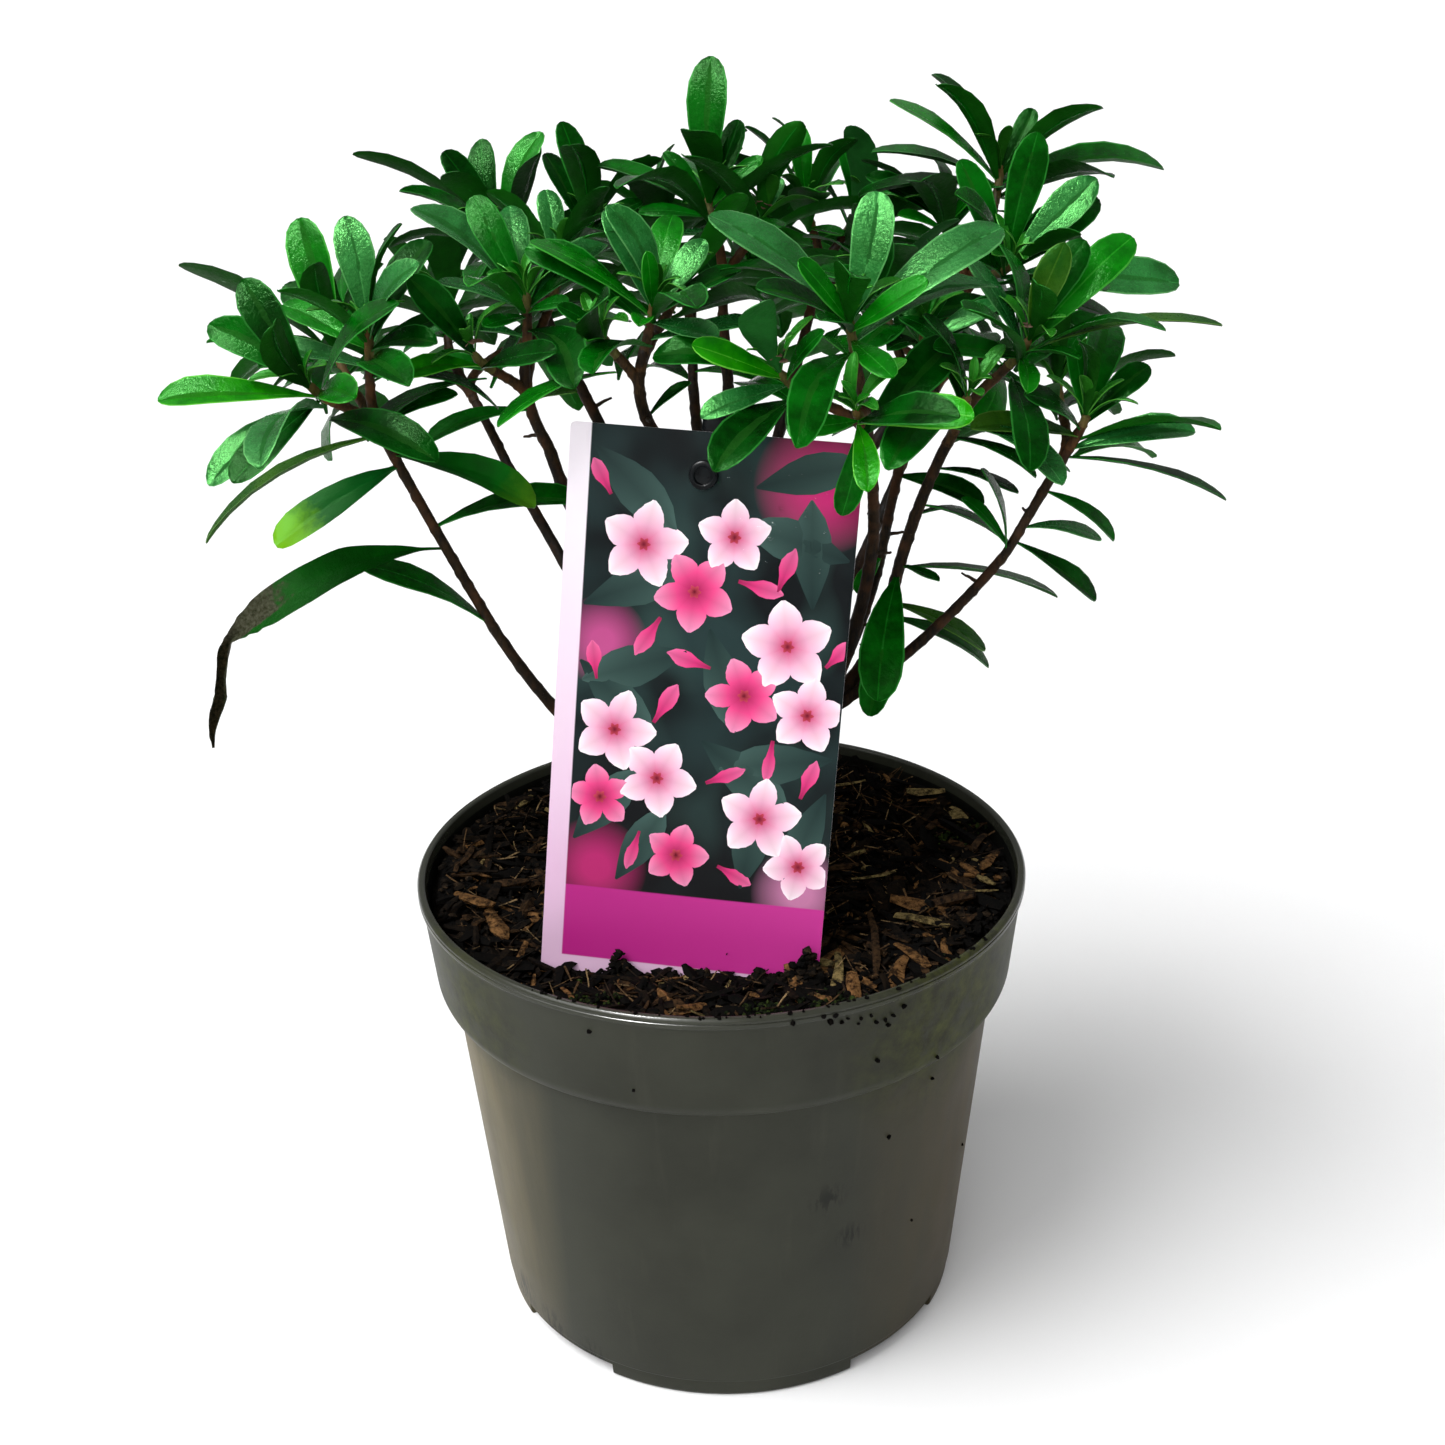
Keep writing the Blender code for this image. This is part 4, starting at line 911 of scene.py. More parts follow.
blade = {
    "stations": (0.0, 0.07, 0.20, 0.36, 0.52, 0.68, 0.82, 0.92, 0.975, 1.0),
    "widths": (0.11, 0.17, 0.42, 0.68, 0.88, 1.0, 0.95, 0.74, 0.46, 0.14),
    "across": (-1.0, -0.91, -0.045, 0.045, 0.91, 1.0, 0.5, -0.5),    # six above, two below
    "thick": 0.5,
    "groove": 0.3,             # depth of the midrib's groove
    "cup": 0.24,               # how far the edges rise, of half the width
    "slim": 0.5,               # width of the leaves whose tone ends in Slim
    "tones": {                 # two greens, the rib's and margin's, roughness and gloss
        "deep": ((0.0002, 0.016, 0.0004), (0.0006, 0.054, 0.0018), (0.016, 0.140, 0.018),
                 0.18, 0.10),
        "mid": ((0.0003, 0.038, 0.0006), (0.0010, 0.105, 0.0028), (0.024, 0.200, 0.026),
                0.18, 0.13),
        "fresh": ((0.0006, 0.085, 0.001), (0.003, 0.180, 0.003), (0.045, 0.290, 0.030),
                  0.18, 0.18),
        "bright": ((0.003, 0.150, 0.0005), (0.014, 0.275, 0.0012), (0.120, 0.480, 0.040),
                   0.17, 0.20),
        "silver": ((0.003, 0.070, 0.008), (0.016, 0.150, 0.028), (0.080, 0.280, 0.080),
                   0.22, 0.58),
        "olive": ((0.008, 0.060, 0.002), (0.030, 0.105, 0.005), (0.075, 0.190, 0.026),
                  0.30, 0.20),
        "young": ((0.005, 0.110, 0.004), (0.020, 0.190, 0.010), (0.070, 0.280, 0.030),
                  0.28, 0.28),
    },
    "tips": {                  # green, tip's colour and where along the leaf it starts
        "limeTip": ((0.0012, 0.052, 0.0055), (0.140, 0.380, 0.002), 0.62),
        "oliveTip": ((0.0015, 0.060, 0.003), (0.045, 0.150, 0.005), 0.76),
    },
    "glossTint": (0.28, 1.0, 0.26, 1.0),
    "chances": (("mid", 0.48), ("deep", 0.36), ("fresh", 0.11), ("silver", 0.05)),
    # The tuft of small leaves on each shoot, from its outermost one inwards
    "tuftLeaves": 7,
    "tuftTilt": 58,            # degrees from the shoot, and less by the step for each leaf
    "tuftTiltStep": 7.5,
    "tuftLength": (15, 20),
    "tuftLengthStep": 1.5,
    "tuftWidth": 0.27,         # of its length
    "tuftArch": 0.12,
}


def leafFinishes(name, dark, light, rib, roughness, gloss):
    # Upper side: two greens in soft patches with a fine sheen; then midrib, underside, and a
    # margin made lighter partly by a painted highlight
    finishes = []
    under = towards(light, (0.022, 0.12, 0.010), 0.3)
    for part, a, b, rough, shine in (
            ("Upper", dark, light, roughness, gloss),
            ("Rib", light, towards(light, rib, 0.5), roughness + 0.05, gloss),
            ("Under", times(under, 0.5), times(under, 0.8), 0.55, 0.06),
            # The margin's lighter colour is partly the leaf's pale edge and partly a painted
            # highlight where the rolled edge catches light
            ("Margin", towards(light, rib, 0.6), rib, roughness, gloss)):
        f = Finish(name + part, b, rough, Specular_IOR_Level=shine,
                   Specular_Tint=blade["glossTint"])
        f.set("Base Color", f.blend(f.noise(75.0, 4.0, 0.65), 0.38, 0.62, a, b))
        grain = f.noise(800.0, 4.0, 0.7)
        f.set("Roughness", f.between(grain, 0.3, 0.7, (rough - 0.08, rough + 0.12)))
        f.bump(grain, 0.40 if gloss > 0.5 else 0.36, 0.0008)
        finishes.append(f)
    return finishes


def tippedFinish(name, green, tip, start):
    # Green that turns along the leaf's own length into a ragged patch at its tip
    f = Finish(name, green, 0.34, Specular_IOR_Level=0.3, Specular_Tint=blade["glossTint"])
    ragged = f.noise(420.0, 4.0, 0.7)
    place = f.reckon("ADD", f.axes("UV")["X"], f.between(ragged, 0.2, 0.8, (-0.07, 0.07)))
    colour = f.blend(f.noise(70.0), 0.35, 0.65, green, times(green, 1.9))
    f.set("Base Color", f.blend(place, start, start + 0.20, colour, tip))
    f.bump(ragged, 0.3, 0.0003)
    return f


def bladeMesh(specs, seed, thick=blade["thick"]):
    # point = root + way L t + up (arch L 4t(1-t) - curl L (t-0.55)^2) + side (W/2) w(t) s, with
    # the edges raised by cup s^2, a groove along s = 0, a sideways bend and a twist
    count = len(specs)
    chance = np.random.RandomState(seed)

    def draw(low, high):
        return chance.uniform(low, high, (count, 1))

    root, way, up = (np.array([spec[k] for spec in specs])[:, None] for k in (0, 1, 2))
    length, width, arch, loose = (np.array([spec[k] for spec in specs], float)[:, None]
                                  for k in (3, 4, 5, 7))
    side = np.cross(way, up)
    t, w, s = (np.array(blade[key]) for key in ("stations", "widths", "across"))
    top = np.array([1, 1, 1, 1, 1, 1, 0, 0])
    bend = draw(-0.05, 0.05) * (1 + loose)
    twist = draw(-0.25, 0.25) * (0.5 + 1.5 * loose)
    curl = draw(-0.05, 0.30) + loose * draw(0.0, 0.6)
    cup = blade["cup"] * draw(0.2, 1.7)
    wave = draw(0, 2 * math.pi)
    narrow = draw(0.84, 1.02)
    half = width * narrow / 2 * w ** draw(0.85, 1.2)
    half[:, :2] = np.minimum(half[:, :2], (0.8, 1.0))     # slender at its root
    half = half[..., None]
    rise = arch * 4 * t * (1 - t) - curl * np.clip(t - 0.55, 0, 1) ** 2
    sway = bend * np.sin(math.pi * t)
    centre = (root + way * (length * t)[..., None] + up * (length * rise)[..., None]
              + side * (length * sway)[..., None])
    turn = (twist * (t - 0.2))[..., None]
    across = side * np.cos(turn) + up * np.sin(turn)
    above = up * np.cos(turn) - side * np.sin(turn)
    groove = blade["groove"] * np.exp(-(s / 0.15) ** 2) * top * np.minimum(half, 2.0) / 2
    ripple = 0.05 * half * np.sin(wave[..., None] + 9 * t[:, None] + 2.5 * s) * np.abs(s)
    lift = (cup[..., None] * half * s ** 2 - groove + ripple - (1 - top) * thick
            - 0.3 * (np.abs(s) > 0.95))
    points = (centre[:, :, None] + across[:, :, None] * (half * s)[..., None]
              + above[:, :, None] * lift[..., None])
    faces = copies(tubeFaces(len(t), len(s), True), len(s) * len(t), count)
    slots = ([3, 0, 1, 0, 3, 2, 2, 2] * (len(t) - 1) + [2, 2]) * count
    return points.reshape(-1, 3), faces, slots, ribbonUv(t, s, count)


def youngLeaves(plans):
    # A tuft of small leaves in the middle of each shoot's end
    tuft = []
    for number, (name, plan) in enumerate(plans.items()):
        for shoot, (line, axis) in enumerate(plan["shoots"]):
            chance = random.Random("%s tuft %d" % (name, shoot))
            for index in range(blade["tuftLeaves"]):
                turn = index * leafRule["golden"] + chance.uniform(0, 40) + number * 50
                tilt = blade["tuftTilt"] - blade["tuftTiltStep"] * index + chance.uniform(-5, 5)
                way = tilted(axis, math.radians(turn), math.radians(tilt))
                length = chance.uniform(*blade["tuftLength"]) - blade["tuftLengthStep"] * index
                tuft.append((line[-1] + axis * (0.25 * index - 1.5), way, upperSide(way, axis),
                             length, length * blade["tuftWidth"], blade["tuftArch"], "young",
                             0.6))
    return tuft


def makeLeaves(leaves, plans):
    # Leaves by tone; those without a tone of their own are dealt one by the chances
    chance = random.Random(5)
    groups = {tone: [] for tone in (*blade["tones"], *blade["tips"])}
    for leaf in leaves:
        tone, rank = leaf[6:8]
        if tone is None:
            pick = chance.random()
            for tone, share in blade["chances"]:
                pick -= share
                if pick < 0:
                    break
        width = leaf[4] * (blade["slim"] if tone.endswith("Slim") else 1.0)
        loose = 0.0 if rank == 0 else 1.0
        groups[tone.removesuffix("Slim")].append((*leaf[:4], width, *leaf[5:7], loose))
    groups["young"] += youngLeaves(plans)
    for seed, (tone, values) in enumerate(blade["tones"].items()):
        points, faces, slots, _ = bladeMesh(groups[tone], 40 + seed)
        finishes = leafFinishes("leaf" + tone.capitalize(), *values)
        addPiece("leaves_" + tone, points, faces, slots, finishes, massPlans, "foliage", 62)
        print("leaves", tone, len(groups[tone]))
    for seed, (tone, values) in enumerate(blade["tips"].items()):
        points, faces, _, uv = bladeMesh(groups[tone], 60 + seed)
        addPiece("leaves_" + tone, points, faces, None, [tippedFinish(tone, *values)],
                 massPlans, "foliage", 62, uv)


makeLeaves(leaves, plans)


# The long leaf at the left, withered near its end and hanging from there as a dry strip

bentShape = {
    "stations": (0.0, 0.10, 0.22, 0.40, 0.60, 0.76, 0.86, 0.93, 0.97, 1.0),
    "hanging": (0.12, 0.30, 0.46, 0.62, 0.80, 0.93, 1.0),
    # At the stations, then at the hanging ones: width, fold, turn in radians, and dryness
    "widths": (0.05, 0.10, 0.42, 0.88, 1.0, 0.96, 0.80, 0.52, 0.30, 0.22,
               0.36, 0.30, 0.42, 0.38, 0.24, 0.12, 0.05),
    "folds": (0.15, 0.15, 0.15, 0.15, 0.15, 0.15, 0.3, 0.5, 0.9, 1.2,
              1.3, 1.3, 1.3, 1.3, 1.3, 1.3, 1.3),
    "turns": (0, 0, 0, 0, 0, 0, 0, 0, 0.15, 0.3, 0.8, 1.2, 1.5, 1.3, 1.0, 0.9, 0.8),
    "dryness": (0, 0, 0, 0, 0, 0.1, 1, 1, 1, 1, 1, 1, 1, 1, 1, 1, 1),
    "halfWidth": 6.6,
    "bow": (-1.6, 0.4, 0.0),   # how far the hanging part bows out
    "steps": 90,
    "green": (0.0005, 0.036, 0.001),
    "grey": ((0.016, 0.011, 0.007), (0.066, 0.058, 0.042)),
    "brown": ((0.006, 0.0045, 0.003), (0.038, 0.026, 0.014)),
}


def bentFinish():
    # Green, then grey and brown past ragged lines; the lower edge stays green for longer
    f = Finish("bentLeafGreenToDry", bentShape["green"], 0.45, Specular_IOR_Level=0.10,
               Specular_Tint=blade["glossTint"])
    axes = f.axes("UV")
    ragged = f.between(f.noise(380.0, 4.0, 0.7), 0.2, 0.8, (-0.05, 0.05))
    place = f.reckon("SUBTRACT", f.reckon("ADD", axes["X"], ragged),
                     f.between(axes["Y"], 0.36, 0.16, (0.0, 0.17)))
    green = f.blend(f.noise(60.0), 0.35, 0.65, bentShape["green"],
                    times(bentShape["green"], 1.8))
    veins = f.noise(900.0, 4.0, 0.7)
    colour = f.blend(place, 0.28, 0.31, green, f.blend(veins, 0.35, 0.65, *bentShape["grey"]))
    brown = f.blend(veins, 0.40, 0.65, *bentShape["brown"])
    f.set("Base Color", f.blend(place, 0.52, 0.58, colour, brown))
    f.set("Roughness", f.between(place, 0.27, 0.33, (0.36, 0.85)))
    f.bump(veins, 0.7, 0.0007)
    return f


def makeBentLeaf(bentBlade):
    # A ribbon whose width follows the table; past the kink it hangs, folded on itself
    root, way, up, length, _, arch = bentBlade
    t = np.array(bentShape["stations"])
    rise = arch * 4 * t * (1 - t) * np.where(t > 0.5, 1.0, 1.15)
    centre = root + way * (length * t)[:, None] + up * (length * rise)[:, None]
    bearing, drop, run = bentPlan["strip"]
    u = np.array(bentShape["hanging"])[:, None]
    strip = (centre[-1] + heading(bearing, drop) * run * u
             + np.array(bentShape["bow"]) * np.sin(math.pi * u))
    steps = bentShape["steps"]
    path = smoothPath(np.vstack([centre, strip]), steps)
    share = np.linspace(0, 1, steps)
    marks = np.linspace(0, 1, len(bentShape["widths"]))
    half, fold, turn, dryness = (np.interp(share, marks, bentShape[key])[:, None]
                                 for key in ("widths", "folds", "turns", "dryness"))
    half = half * bentShape["halfWidth"]
    tangent = unit(np.gradient(path, axis=0))
    side = np.cross(way, up)
    flat = unit(side - tangent * (tangent @ side)[:, None])
    face = np.cross(flat, tangent)
    across = flat * np.cos(turn) + face * np.sin(turn)
    above = face * np.cos(turn) - flat * np.sin(turn)
    s = np.array([-1.0, -0.66, -0.33, -0.05, 0.05, 0.33, 0.66, 1.0, 0.5, -0.5])
    top = np.array([1] * 8 + [0, 0])
    crumple = softNoise(path[:, None] + across[:, None] * (half * s)[..., None], 2.2, 3) - 0.5
    lift = (fold * half * s ** 2 - 0.25 * np.exp(-(s / 0.15) ** 2) * top
            + 1.6 * crumple * dryness - 0.45 * (1 - top))
    reach = half * s * (1 - 0.3 * fold / 1.3)
    points = path[:, None] + across[:, None] * reach[..., None] + above[:, None] * lift[..., None]
    addPiece("leaf_bent", points.reshape(-1, 3), tubeFaces(steps, len(s), True), None,
             [bentFinish()], [bentPlan["mass"]], "foliage", 70, ribbonUv(share, s))


makeBentLeaf(bentBlade)
print("bent leaf done")


# Stems and young shoots inside the masses, short dead twigs, and dried bud ends

twigs = {
    "deadCount": 30,
    "deadLength": (3.0, 9.0),
    "deadRadii": (0.75, 0.35),
    "shootRadii": (1.55, 1.2),
    "greenFrom": 27,           # the ring, of 44, from which a shoot is green
    "driedEnds": (("foliage_centre_left", 0), ("foliage_front", 0), ("foliage_right", 0),
                  ("foliage_upper_right", 2), ("foliage_top", 1)),
}


def shootRelief(points, a, run, radii, seed):
    # Rings of leaf scars, closer together towards the leafy end
    rings = 0.5 + 0.5 * np.cos(2 * math.pi * (run / run[-1]) ** 1.6 * run[-1] / 3.2)
    rough = softNoise(points, 0.8, seed) - 0.5
    return (0.16 * rings ** 3)[:, None] * (1 + 0.5 * np.cos(a + run[:, None])) + 0.18 * rough


def makeStems(plans):
    # Old wood as one piece, and young shoots that turn from brown to green as another
    old, young = [], []
    for index, plan in enumerate(plans.values()):
        radii = np.linspace(plan["foot"] * 0.99, leafRule["stemEndRadius"] * 0.98, 80)
        path = smoothPath(plan["fineStem"], 80)
        old.append((*fineTube(path, radii, 14, barkRelief, 60 + index), 0))
        for number, (line, _) in enumerate(plan["shoots"]):
            thin = np.linspace(*twigs["shootRadii"], 44)
            thin[-3:] = (1.0, 0.7, 0.35)
            seed = 90 + index * 3 + number
            points, faces = fineTube(smoothPath(line, 44), thin, 10, shootRelief, seed)
            slots = np.where(np.arange(len(faces)) // 10 > twigs["greenFrom"], 1, 0)
            slots[-2:] = (0, 1)
            young.append((points, faces, slots))
    finish = barkFinish("stemFinish", (0.005, 0.003, 0.0012), (0.027, 0.0150, 0.0060),
                        (0.058, 0.023, 0.008))
    addPiece("stemBark", *heap(old), [finish], massPlans, "bark", 60)
    brown = barkFinish("shootBrown", (0.012, 0.007, 0.003), (0.062, 0.034, 0.012),
                       (0.095, 0.036, 0.012))
    tan = barkFinish("shootTan", (0.050, 0.046, 0.012), (0.110, 0.100, 0.026),
                     (0.140, 0.060, 0.020))
    addPiece("youngShoots", *heap(young), [brown, tan], massPlans, "bark", 60)


def makeDeadTwigs(plans, limbs):
    # Thin broken ends of old twigs along the boughs and stems
    chance = random.Random(17)
    names = [name for name in limbs if name != "trunk"]
    parts = []
    for index in range(twigs["deadCount"]):
        if index % 2:
            _, line, radii = limbs[chance.choice(names)]
            share = chance.uniform(0.35, 0.98)
            thick = radii[0] + (radii[1] - radii[0]) * share
        else:
            line = plans[chance.choice(list(plans))]["fineStem"]
            share = chance.uniform(0.15, 0.95)
            thick = 1.4
        start, way = along(line, share)
        out = heading(chance.uniform(0, 360), chance.uniform(-10, 60))
        out = unit(out - way * float(np.dot(out, way)) * 0.6)
        run = chance.uniform(*twigs["deadLength"])
        steps = np.linspace(0, 1, 7)[:, None]
        wander = np.array([[chance.uniform(-0.3, 0.3) for _ in range(3)] for _ in steps])
        path = start + out * (thick * 0.4 + run * steps) + wander * steps
        parts.append((*fineTube(path, np.linspace(*twigs["deadRadii"], 7), 6), 0))
    finish = barkFinish("deadTwigFinish", (0.009, 0.006, 0.003), (0.050, 0.034, 0.020),
                        (0.040, 0.022, 0.012))
    addPiece("deadTwigs", *heap(parts), [finish], (), "bark", 60)


def makeDriedEnds(plans):
    # Little heads of dried scales where flowers stood
    specs = []
    for name, shoot in twigs["driedEnds"]:
        line, axis = plans[name]["shoots"][shoot]
        chance = random.Random("%s dried %d" % (name, shoot))
        for index in range(11):
            way = heading(index * leafRule["golden"], chance.uniform(15, 75))
            length = chance.uniform(2.6, 4.6)
            specs.append((line[-1] + axis * chance.uniform(1.0, 2.6), way,
                          upperSide(way, axis), length, 1.7, 0.2, None, 0.5))
    points, faces, *_ = bladeMesh(specs, 77, 0.25)
    finish = barkFinish("driedScale", (0.060, 0.036, 0.024), (0.300, 0.200, 0.140),
                        (0.130, 0.055, 0.035))
    addPiece("driedEnds", points, faces, None, [finish], (), "foliage", 60)


makeStems(plans)
makeDeadTwigs(plans, limbs)
makeDriedEnds(plans)
print("stems and twigs done")


# Pot

pot = {
    "height": 150.0, "rim": 95.0, "lip": 3.6, "collar": 35.0, "collarBottom": 91.2,
    "bodyTop": 86.2, "base": 75.6, "ring": 6.0, "wall": 1.8,
    "slots": (45.0, 135.0, 225.0, 315.0), "slotHeight": 4.6, "slotPlane": 70.1,
    "slotHalf": 15.3,          # degrees each side of a slot's middle
    "colours": ((0.0245, 0.0258, 0.0186), (0.0350, 0.0368, 0.0268)),
    "drips": (0.080, 0.076, 0.056),
    # Painted light: warm, lighter bands down the left and right sides of the body
    "litFlanks": (((0.205, 0.168, 0.090), -0.050, -0.084, 0.85),     # colour, from x, to x, share
               ((0.070, 0.050, 0.022), 0.036, 0.078, 0.80)),
    "algae": ((0.013, 0.014, 0.0035), (0.043, 0.048, 0.0085)),
    "algaePlaces": (((68, -62, 133), 46, 16), ((-76, -50, 130), 34, 8), ((90, -14, 128), 26, 6)),
    # Dark streaky marks: two on the front of the body, three round the front-left drain slot at
    # the foot
    "darkMarks": (((29.4, -77.3, 76), 7.0, 1.5), ((36.3, -72.5, 59), 6.0, 1.2),
               ((-67, -36, 10), 11.0, 3.0), ((-56, -51, 7), 9.0, 3.0), ((-44, -62, 5), 8.0, 2.5)),
    "darkMarkColour": (0.007, 0.0075, 0.006),
    # The inside's colours are painted shade, far darker than the outside
    "inside": ((0.0014, 0.0015, 0.0010), (0.0065, 0.0070, 0.0048)),
    "specks": ((-73.5, 148), (-72.1, 145.4), (-71.4, 147.7), (-70, 144.3), (-68.9, 145.1),
               (-66.8, 142.3), (-66.4, 143.9), (-64.5, 144), (-63.4, 141.3), (-61.5, 140.8),
               (-60.8, 138.8), (-60, 141.5), (-57.8, 143.4), (-78.7, 147.6), (-113.3, 141.7),
               (-48, 118.5), (-44.5, 105.6), (-55.7, 92.2), (-22.4, 59.9), (-45.6, 51.8),
               (-106.1, 123.6), (-62.5, 127.3)),
    "lipSpecks": 46,
}


def innerWall(height):
    # Radius of the pot's inner face at a height
    shoulder = pot["height"] - pot["collar"]
    return np.interp(height, (5.0, shoulder - 2.0, shoulder + 3.0, pot["height"]),
                     (pot["base"] - pot["wall"] + 0.2, pot["bodyTop"] - pot["wall"],
                      pot["collarBottom"] - pot["wall"], pot["rim"] - 2.6))


def outerWall(height):
    # Radius of the pot's outer face at a height
    shoulder = pot["height"] - pot["collar"]
    return np.interp(height, (0.0, pot["ring"], shoulder - 1.6, shoulder + 3.2, 146.4, 147.4),
                     (pot["base"], pot["base"] + 0.8, pot["bodyTop"], pot["collarBottom"] + 0.2,
                      pot["rim"] - 0.9, pot["rim"]))


def roundedProfile(corners, steps=5):
    # Each corner becomes a quadratic curve that starts and ends its own cut away from it
    points = [np.array(corners[0][:2])]
    for before, (r, z, cut), after in zip(corners, corners[1:], corners[2:]):
        corner = np.array((r, z))
        ways = [np.array(other[:2]) - corner for other in (before, after)]
        a, b = (corner + w / np.linalg.norm(w) * min(cut, np.linalg.norm(w) / 2.2) for w in ways)
        if cut <= 0:
            points.append(corner)
            continue
        t = np.linspace(0, 1, steps)[:, None]
        points += list((1 - t) ** 2 * a + 2 * t * (1 - t) * corner + t * t * b)
    points.append(np.array(corners[-1][:2]))
    return np.array(points)


def potFinish(name, shine):
    # Moulded grey-green plastic with painted warm light down both sides of the body, drip marks
    # and green algae on the collar
    f = Finish(name, pot["colours"][1], 0.42, Specular_IOR_Level=shine)
    where, axes = f.where(), f.axes()
    clouds = f.noise(26.0, 4.0)
    streaks = f.noise(120.0, 4.0, 0.6, (1.0, 1.0, 0.10))
    colour = f.blend(clouds, 0.34, 0.68, *pot["colours"])
    below = f.reckon("MULTIPLY", f.between(axes["Z"], 0.119, 0.104),
                     f.between(axes["Y"], 0.055, 0.0, (0.45, 1.0)))
    # Painted light on each side of the body below the collar, stronger at the front and broken by
    # streaks
    for flankLight, start, end, share in pot["litFlanks"]:
        flank = f.between(axes["X"], start, end, (0.0, share))
        flankLightMask = f.reckon("MULTIPLY", flank, f.between(streaks, 0.35, 0.65, (0.6, 1.0)))
        colour = f.mix(f.reckon("MULTIPLY", flankLightMask, below), colour, flankLight)
    colour = f.blend(streaks, 0.60, 0.80, colour, pot["drips"], (0.0, 0.16))

    def patch(colour, ink, place, share, ragged):
        # The ink about a place, where the ragged share lets it show
        centre, reach, core = place
        near = f.near(where, [c * mm for c in centre], reach * mm, core * mm, share)
        return f.mix(f.reckon("MULTIPLY", near, ragged), colour, ink)

    algae = f.blend(f.noise(170.0, 5.0, 0.7), 0.38, 0.68, *pot["algae"])
    for index, place in enumerate(pot["algaePlaces"]):
        ragged = f.between(f.noise(110.0 + 20 * index, 5.0, 0.7), 0.28, 0.50)
        colour = patch(colour, algae, place, 0.96, ragged)
    lines = f.between(f.noise(700.0, stretch=(1.0, 1.0, 0.25)), 0.46, 0.56)
    for place in pot["darkMarks"]:
        colour = patch(colour, pot["darkMarkColour"], place, 0.75, lines)
    f.set("Base Color", colour)
    wet = f.between(axes["Z"], 0.1450, 0.1468, (0.0, 0.26))
    f.set("Roughness", f.reckon("SUBTRACT", f.between(clouds, 0.3, 0.7, (0.38, 0.52)), wet))
    f.bump(f.noise(900.0, 3.0, 0.7), 0.10, 0.0004)
    return f


def shadedInsideFinish():
    # The inside, darkened nearly to black as painted shade
    f = Finish("potInside", pot["inside"][1], 0.6, Specular_IOR_Level=0.06)
    f.set("Base Color", f.blend(f.noise(90.0, 5.0, 0.7), 0.35, 0.7, *pot["inside"]))
    return f


def makePot():
    # (r cos a, r sin a, z) for a profile (r, z), with four drain slots cut in from the foot
    shoulder, top = pot["height"] - pot["collar"], pot["height"]
    lip, rim = top - pot["lip"], pot["rim"]
    base, high = pot["base"], pot["slotHeight"]
    corners = [(float(innerWall(5.0)) - 3.0, 2.0, 0)]
    corners += [(float(innerWall(z)), z, cut) for z, cut in (
        (5.0, 1.5), (shoulder - 2.0, 2.0), (shoulder + 3.0, 2.0), (top - 4.0, 1.0))]
    corners += [
        (rim - 2.5, top - 0.5, 0.4), (rim - 2.0, top, 0.3), (rim - 0.7, top, 0.3),
        (rim, top - 0.8, 0.4), (rim, top - 1.5, 0.1), (rim - 0.3, top - 1.75, 0.1),
        (rim, top - 2.0, 0.1), (rim, lip + 0.4, 0.3), (rim - 0.9, lip, 0.3),
        (pot["collarBottom"] + 0.2, shoulder + 3.2, 1.2),
        (pot["collarBottom"] - 1.0, shoulder + 0.4, 1.3), (pot["bodyTop"], shoulder - 1.6, 1.0),
        (float(outerWall(60.0)), 60.0, 0), (base + 0.85, pot["ring"] + 0.5, 0.25),
        (base + 0.45, pot["ring"] + 0.05, 0.2), (base + 0.35, high + 0.05, 0),
        (base + 0.35, high, 0), (base, 0.9, 0.5), (base - 0.8, 0.0, 0),
    ]
    profile = roundedProfile(corners)
    edges = [b + side * pot["slotHalf"] + step for b in pot["slots"] for side in (-1, 1)
             for step in (-0.06, 0.06)]
    angles = np.radians(np.unique(np.round(np.concatenate([np.arange(0, 360, 1.6), edges]), 3)))
    around = len(angles)
    r, z = (np.repeat(part[:, None], around, axis=1) for part in profile.T)
    low = (profile[:, 1] < high + 0.001) & (np.arange(len(profile)) > len(profile) // 2)
    for bearing in pot["slots"]:
        turn = (np.degrees(angles) - bearing + 180.0) % 360.0 - 180.0
        inside = np.abs(turn) < pot["slotHalf"]
        plane = pot["slotPlane"] / np.cos(np.radians(turn))
        r = np.where(low[:, None] & inside[None], np.minimum(r, plane[None]), r)
    sag = 0.25 * np.sin(2 * angles + 0.7)[None] * np.clip(z / top, 0, 1) ** 2
    points = np.stack([(r + sag) * np.cos(angles), (r + sag) * np.sin(angles), z], -1)
    finishes = [potFinish("potPlastic", 0.10), potFinish("potLip", 0.20), shadedInsideFinish()]
    onLip = (profile[:-1, 1] > lip - 0.1) & (profile[1:, 1] > lip - 0.1)
    inner = np.arange(len(profile) - 1) < np.argmax(onLip)
    slots = np.repeat(onLip + 2 * inner, around).tolist() + [2, 0]
    addPiece("potShell", points.reshape(-1, 3), tubeFaces(len(profile), around, True), slots,
             finishes, ["pot"], "pot", 40)


def makeSpecks(earth):
    # Crumbs of earth on the collar and along the lip
    chance = np.random.RandomState(8)
    bearing, height = np.array(pot["specks"], float).T
    bearing = np.radians(bearing)
    size = chance.uniform(0.45, 1.0, len(height))
    more, top, rim = pot["lipSpecks"], pot["height"], pot["rim"]
    bearing = np.concatenate([bearing, np.radians(chance.uniform(-125, -35, more))])
    height = np.concatenate([height, np.full(more, top)])
    size = np.concatenate([size, chance.uniform(0.25, 0.7, more)])
    onLip = height > top - 1.0
    r = np.where(onLip, chance.uniform(rim - 2.1, rim - 0.6, len(height)),
                 outerWall(np.minimum(height, top - 2.0)) + size * 0.1)
    z = np.where(onLip, top + size * 0.25, height)
    centres = np.stack([r * np.cos(bearing), r * np.sin(bearing), z], -1)
    addPiece("collarSpecks", *blobs(centres, size, 9, 0.8), None, [earth], (), "soil", 50)


# Soil, bark chips, fibres, crumbs and moss

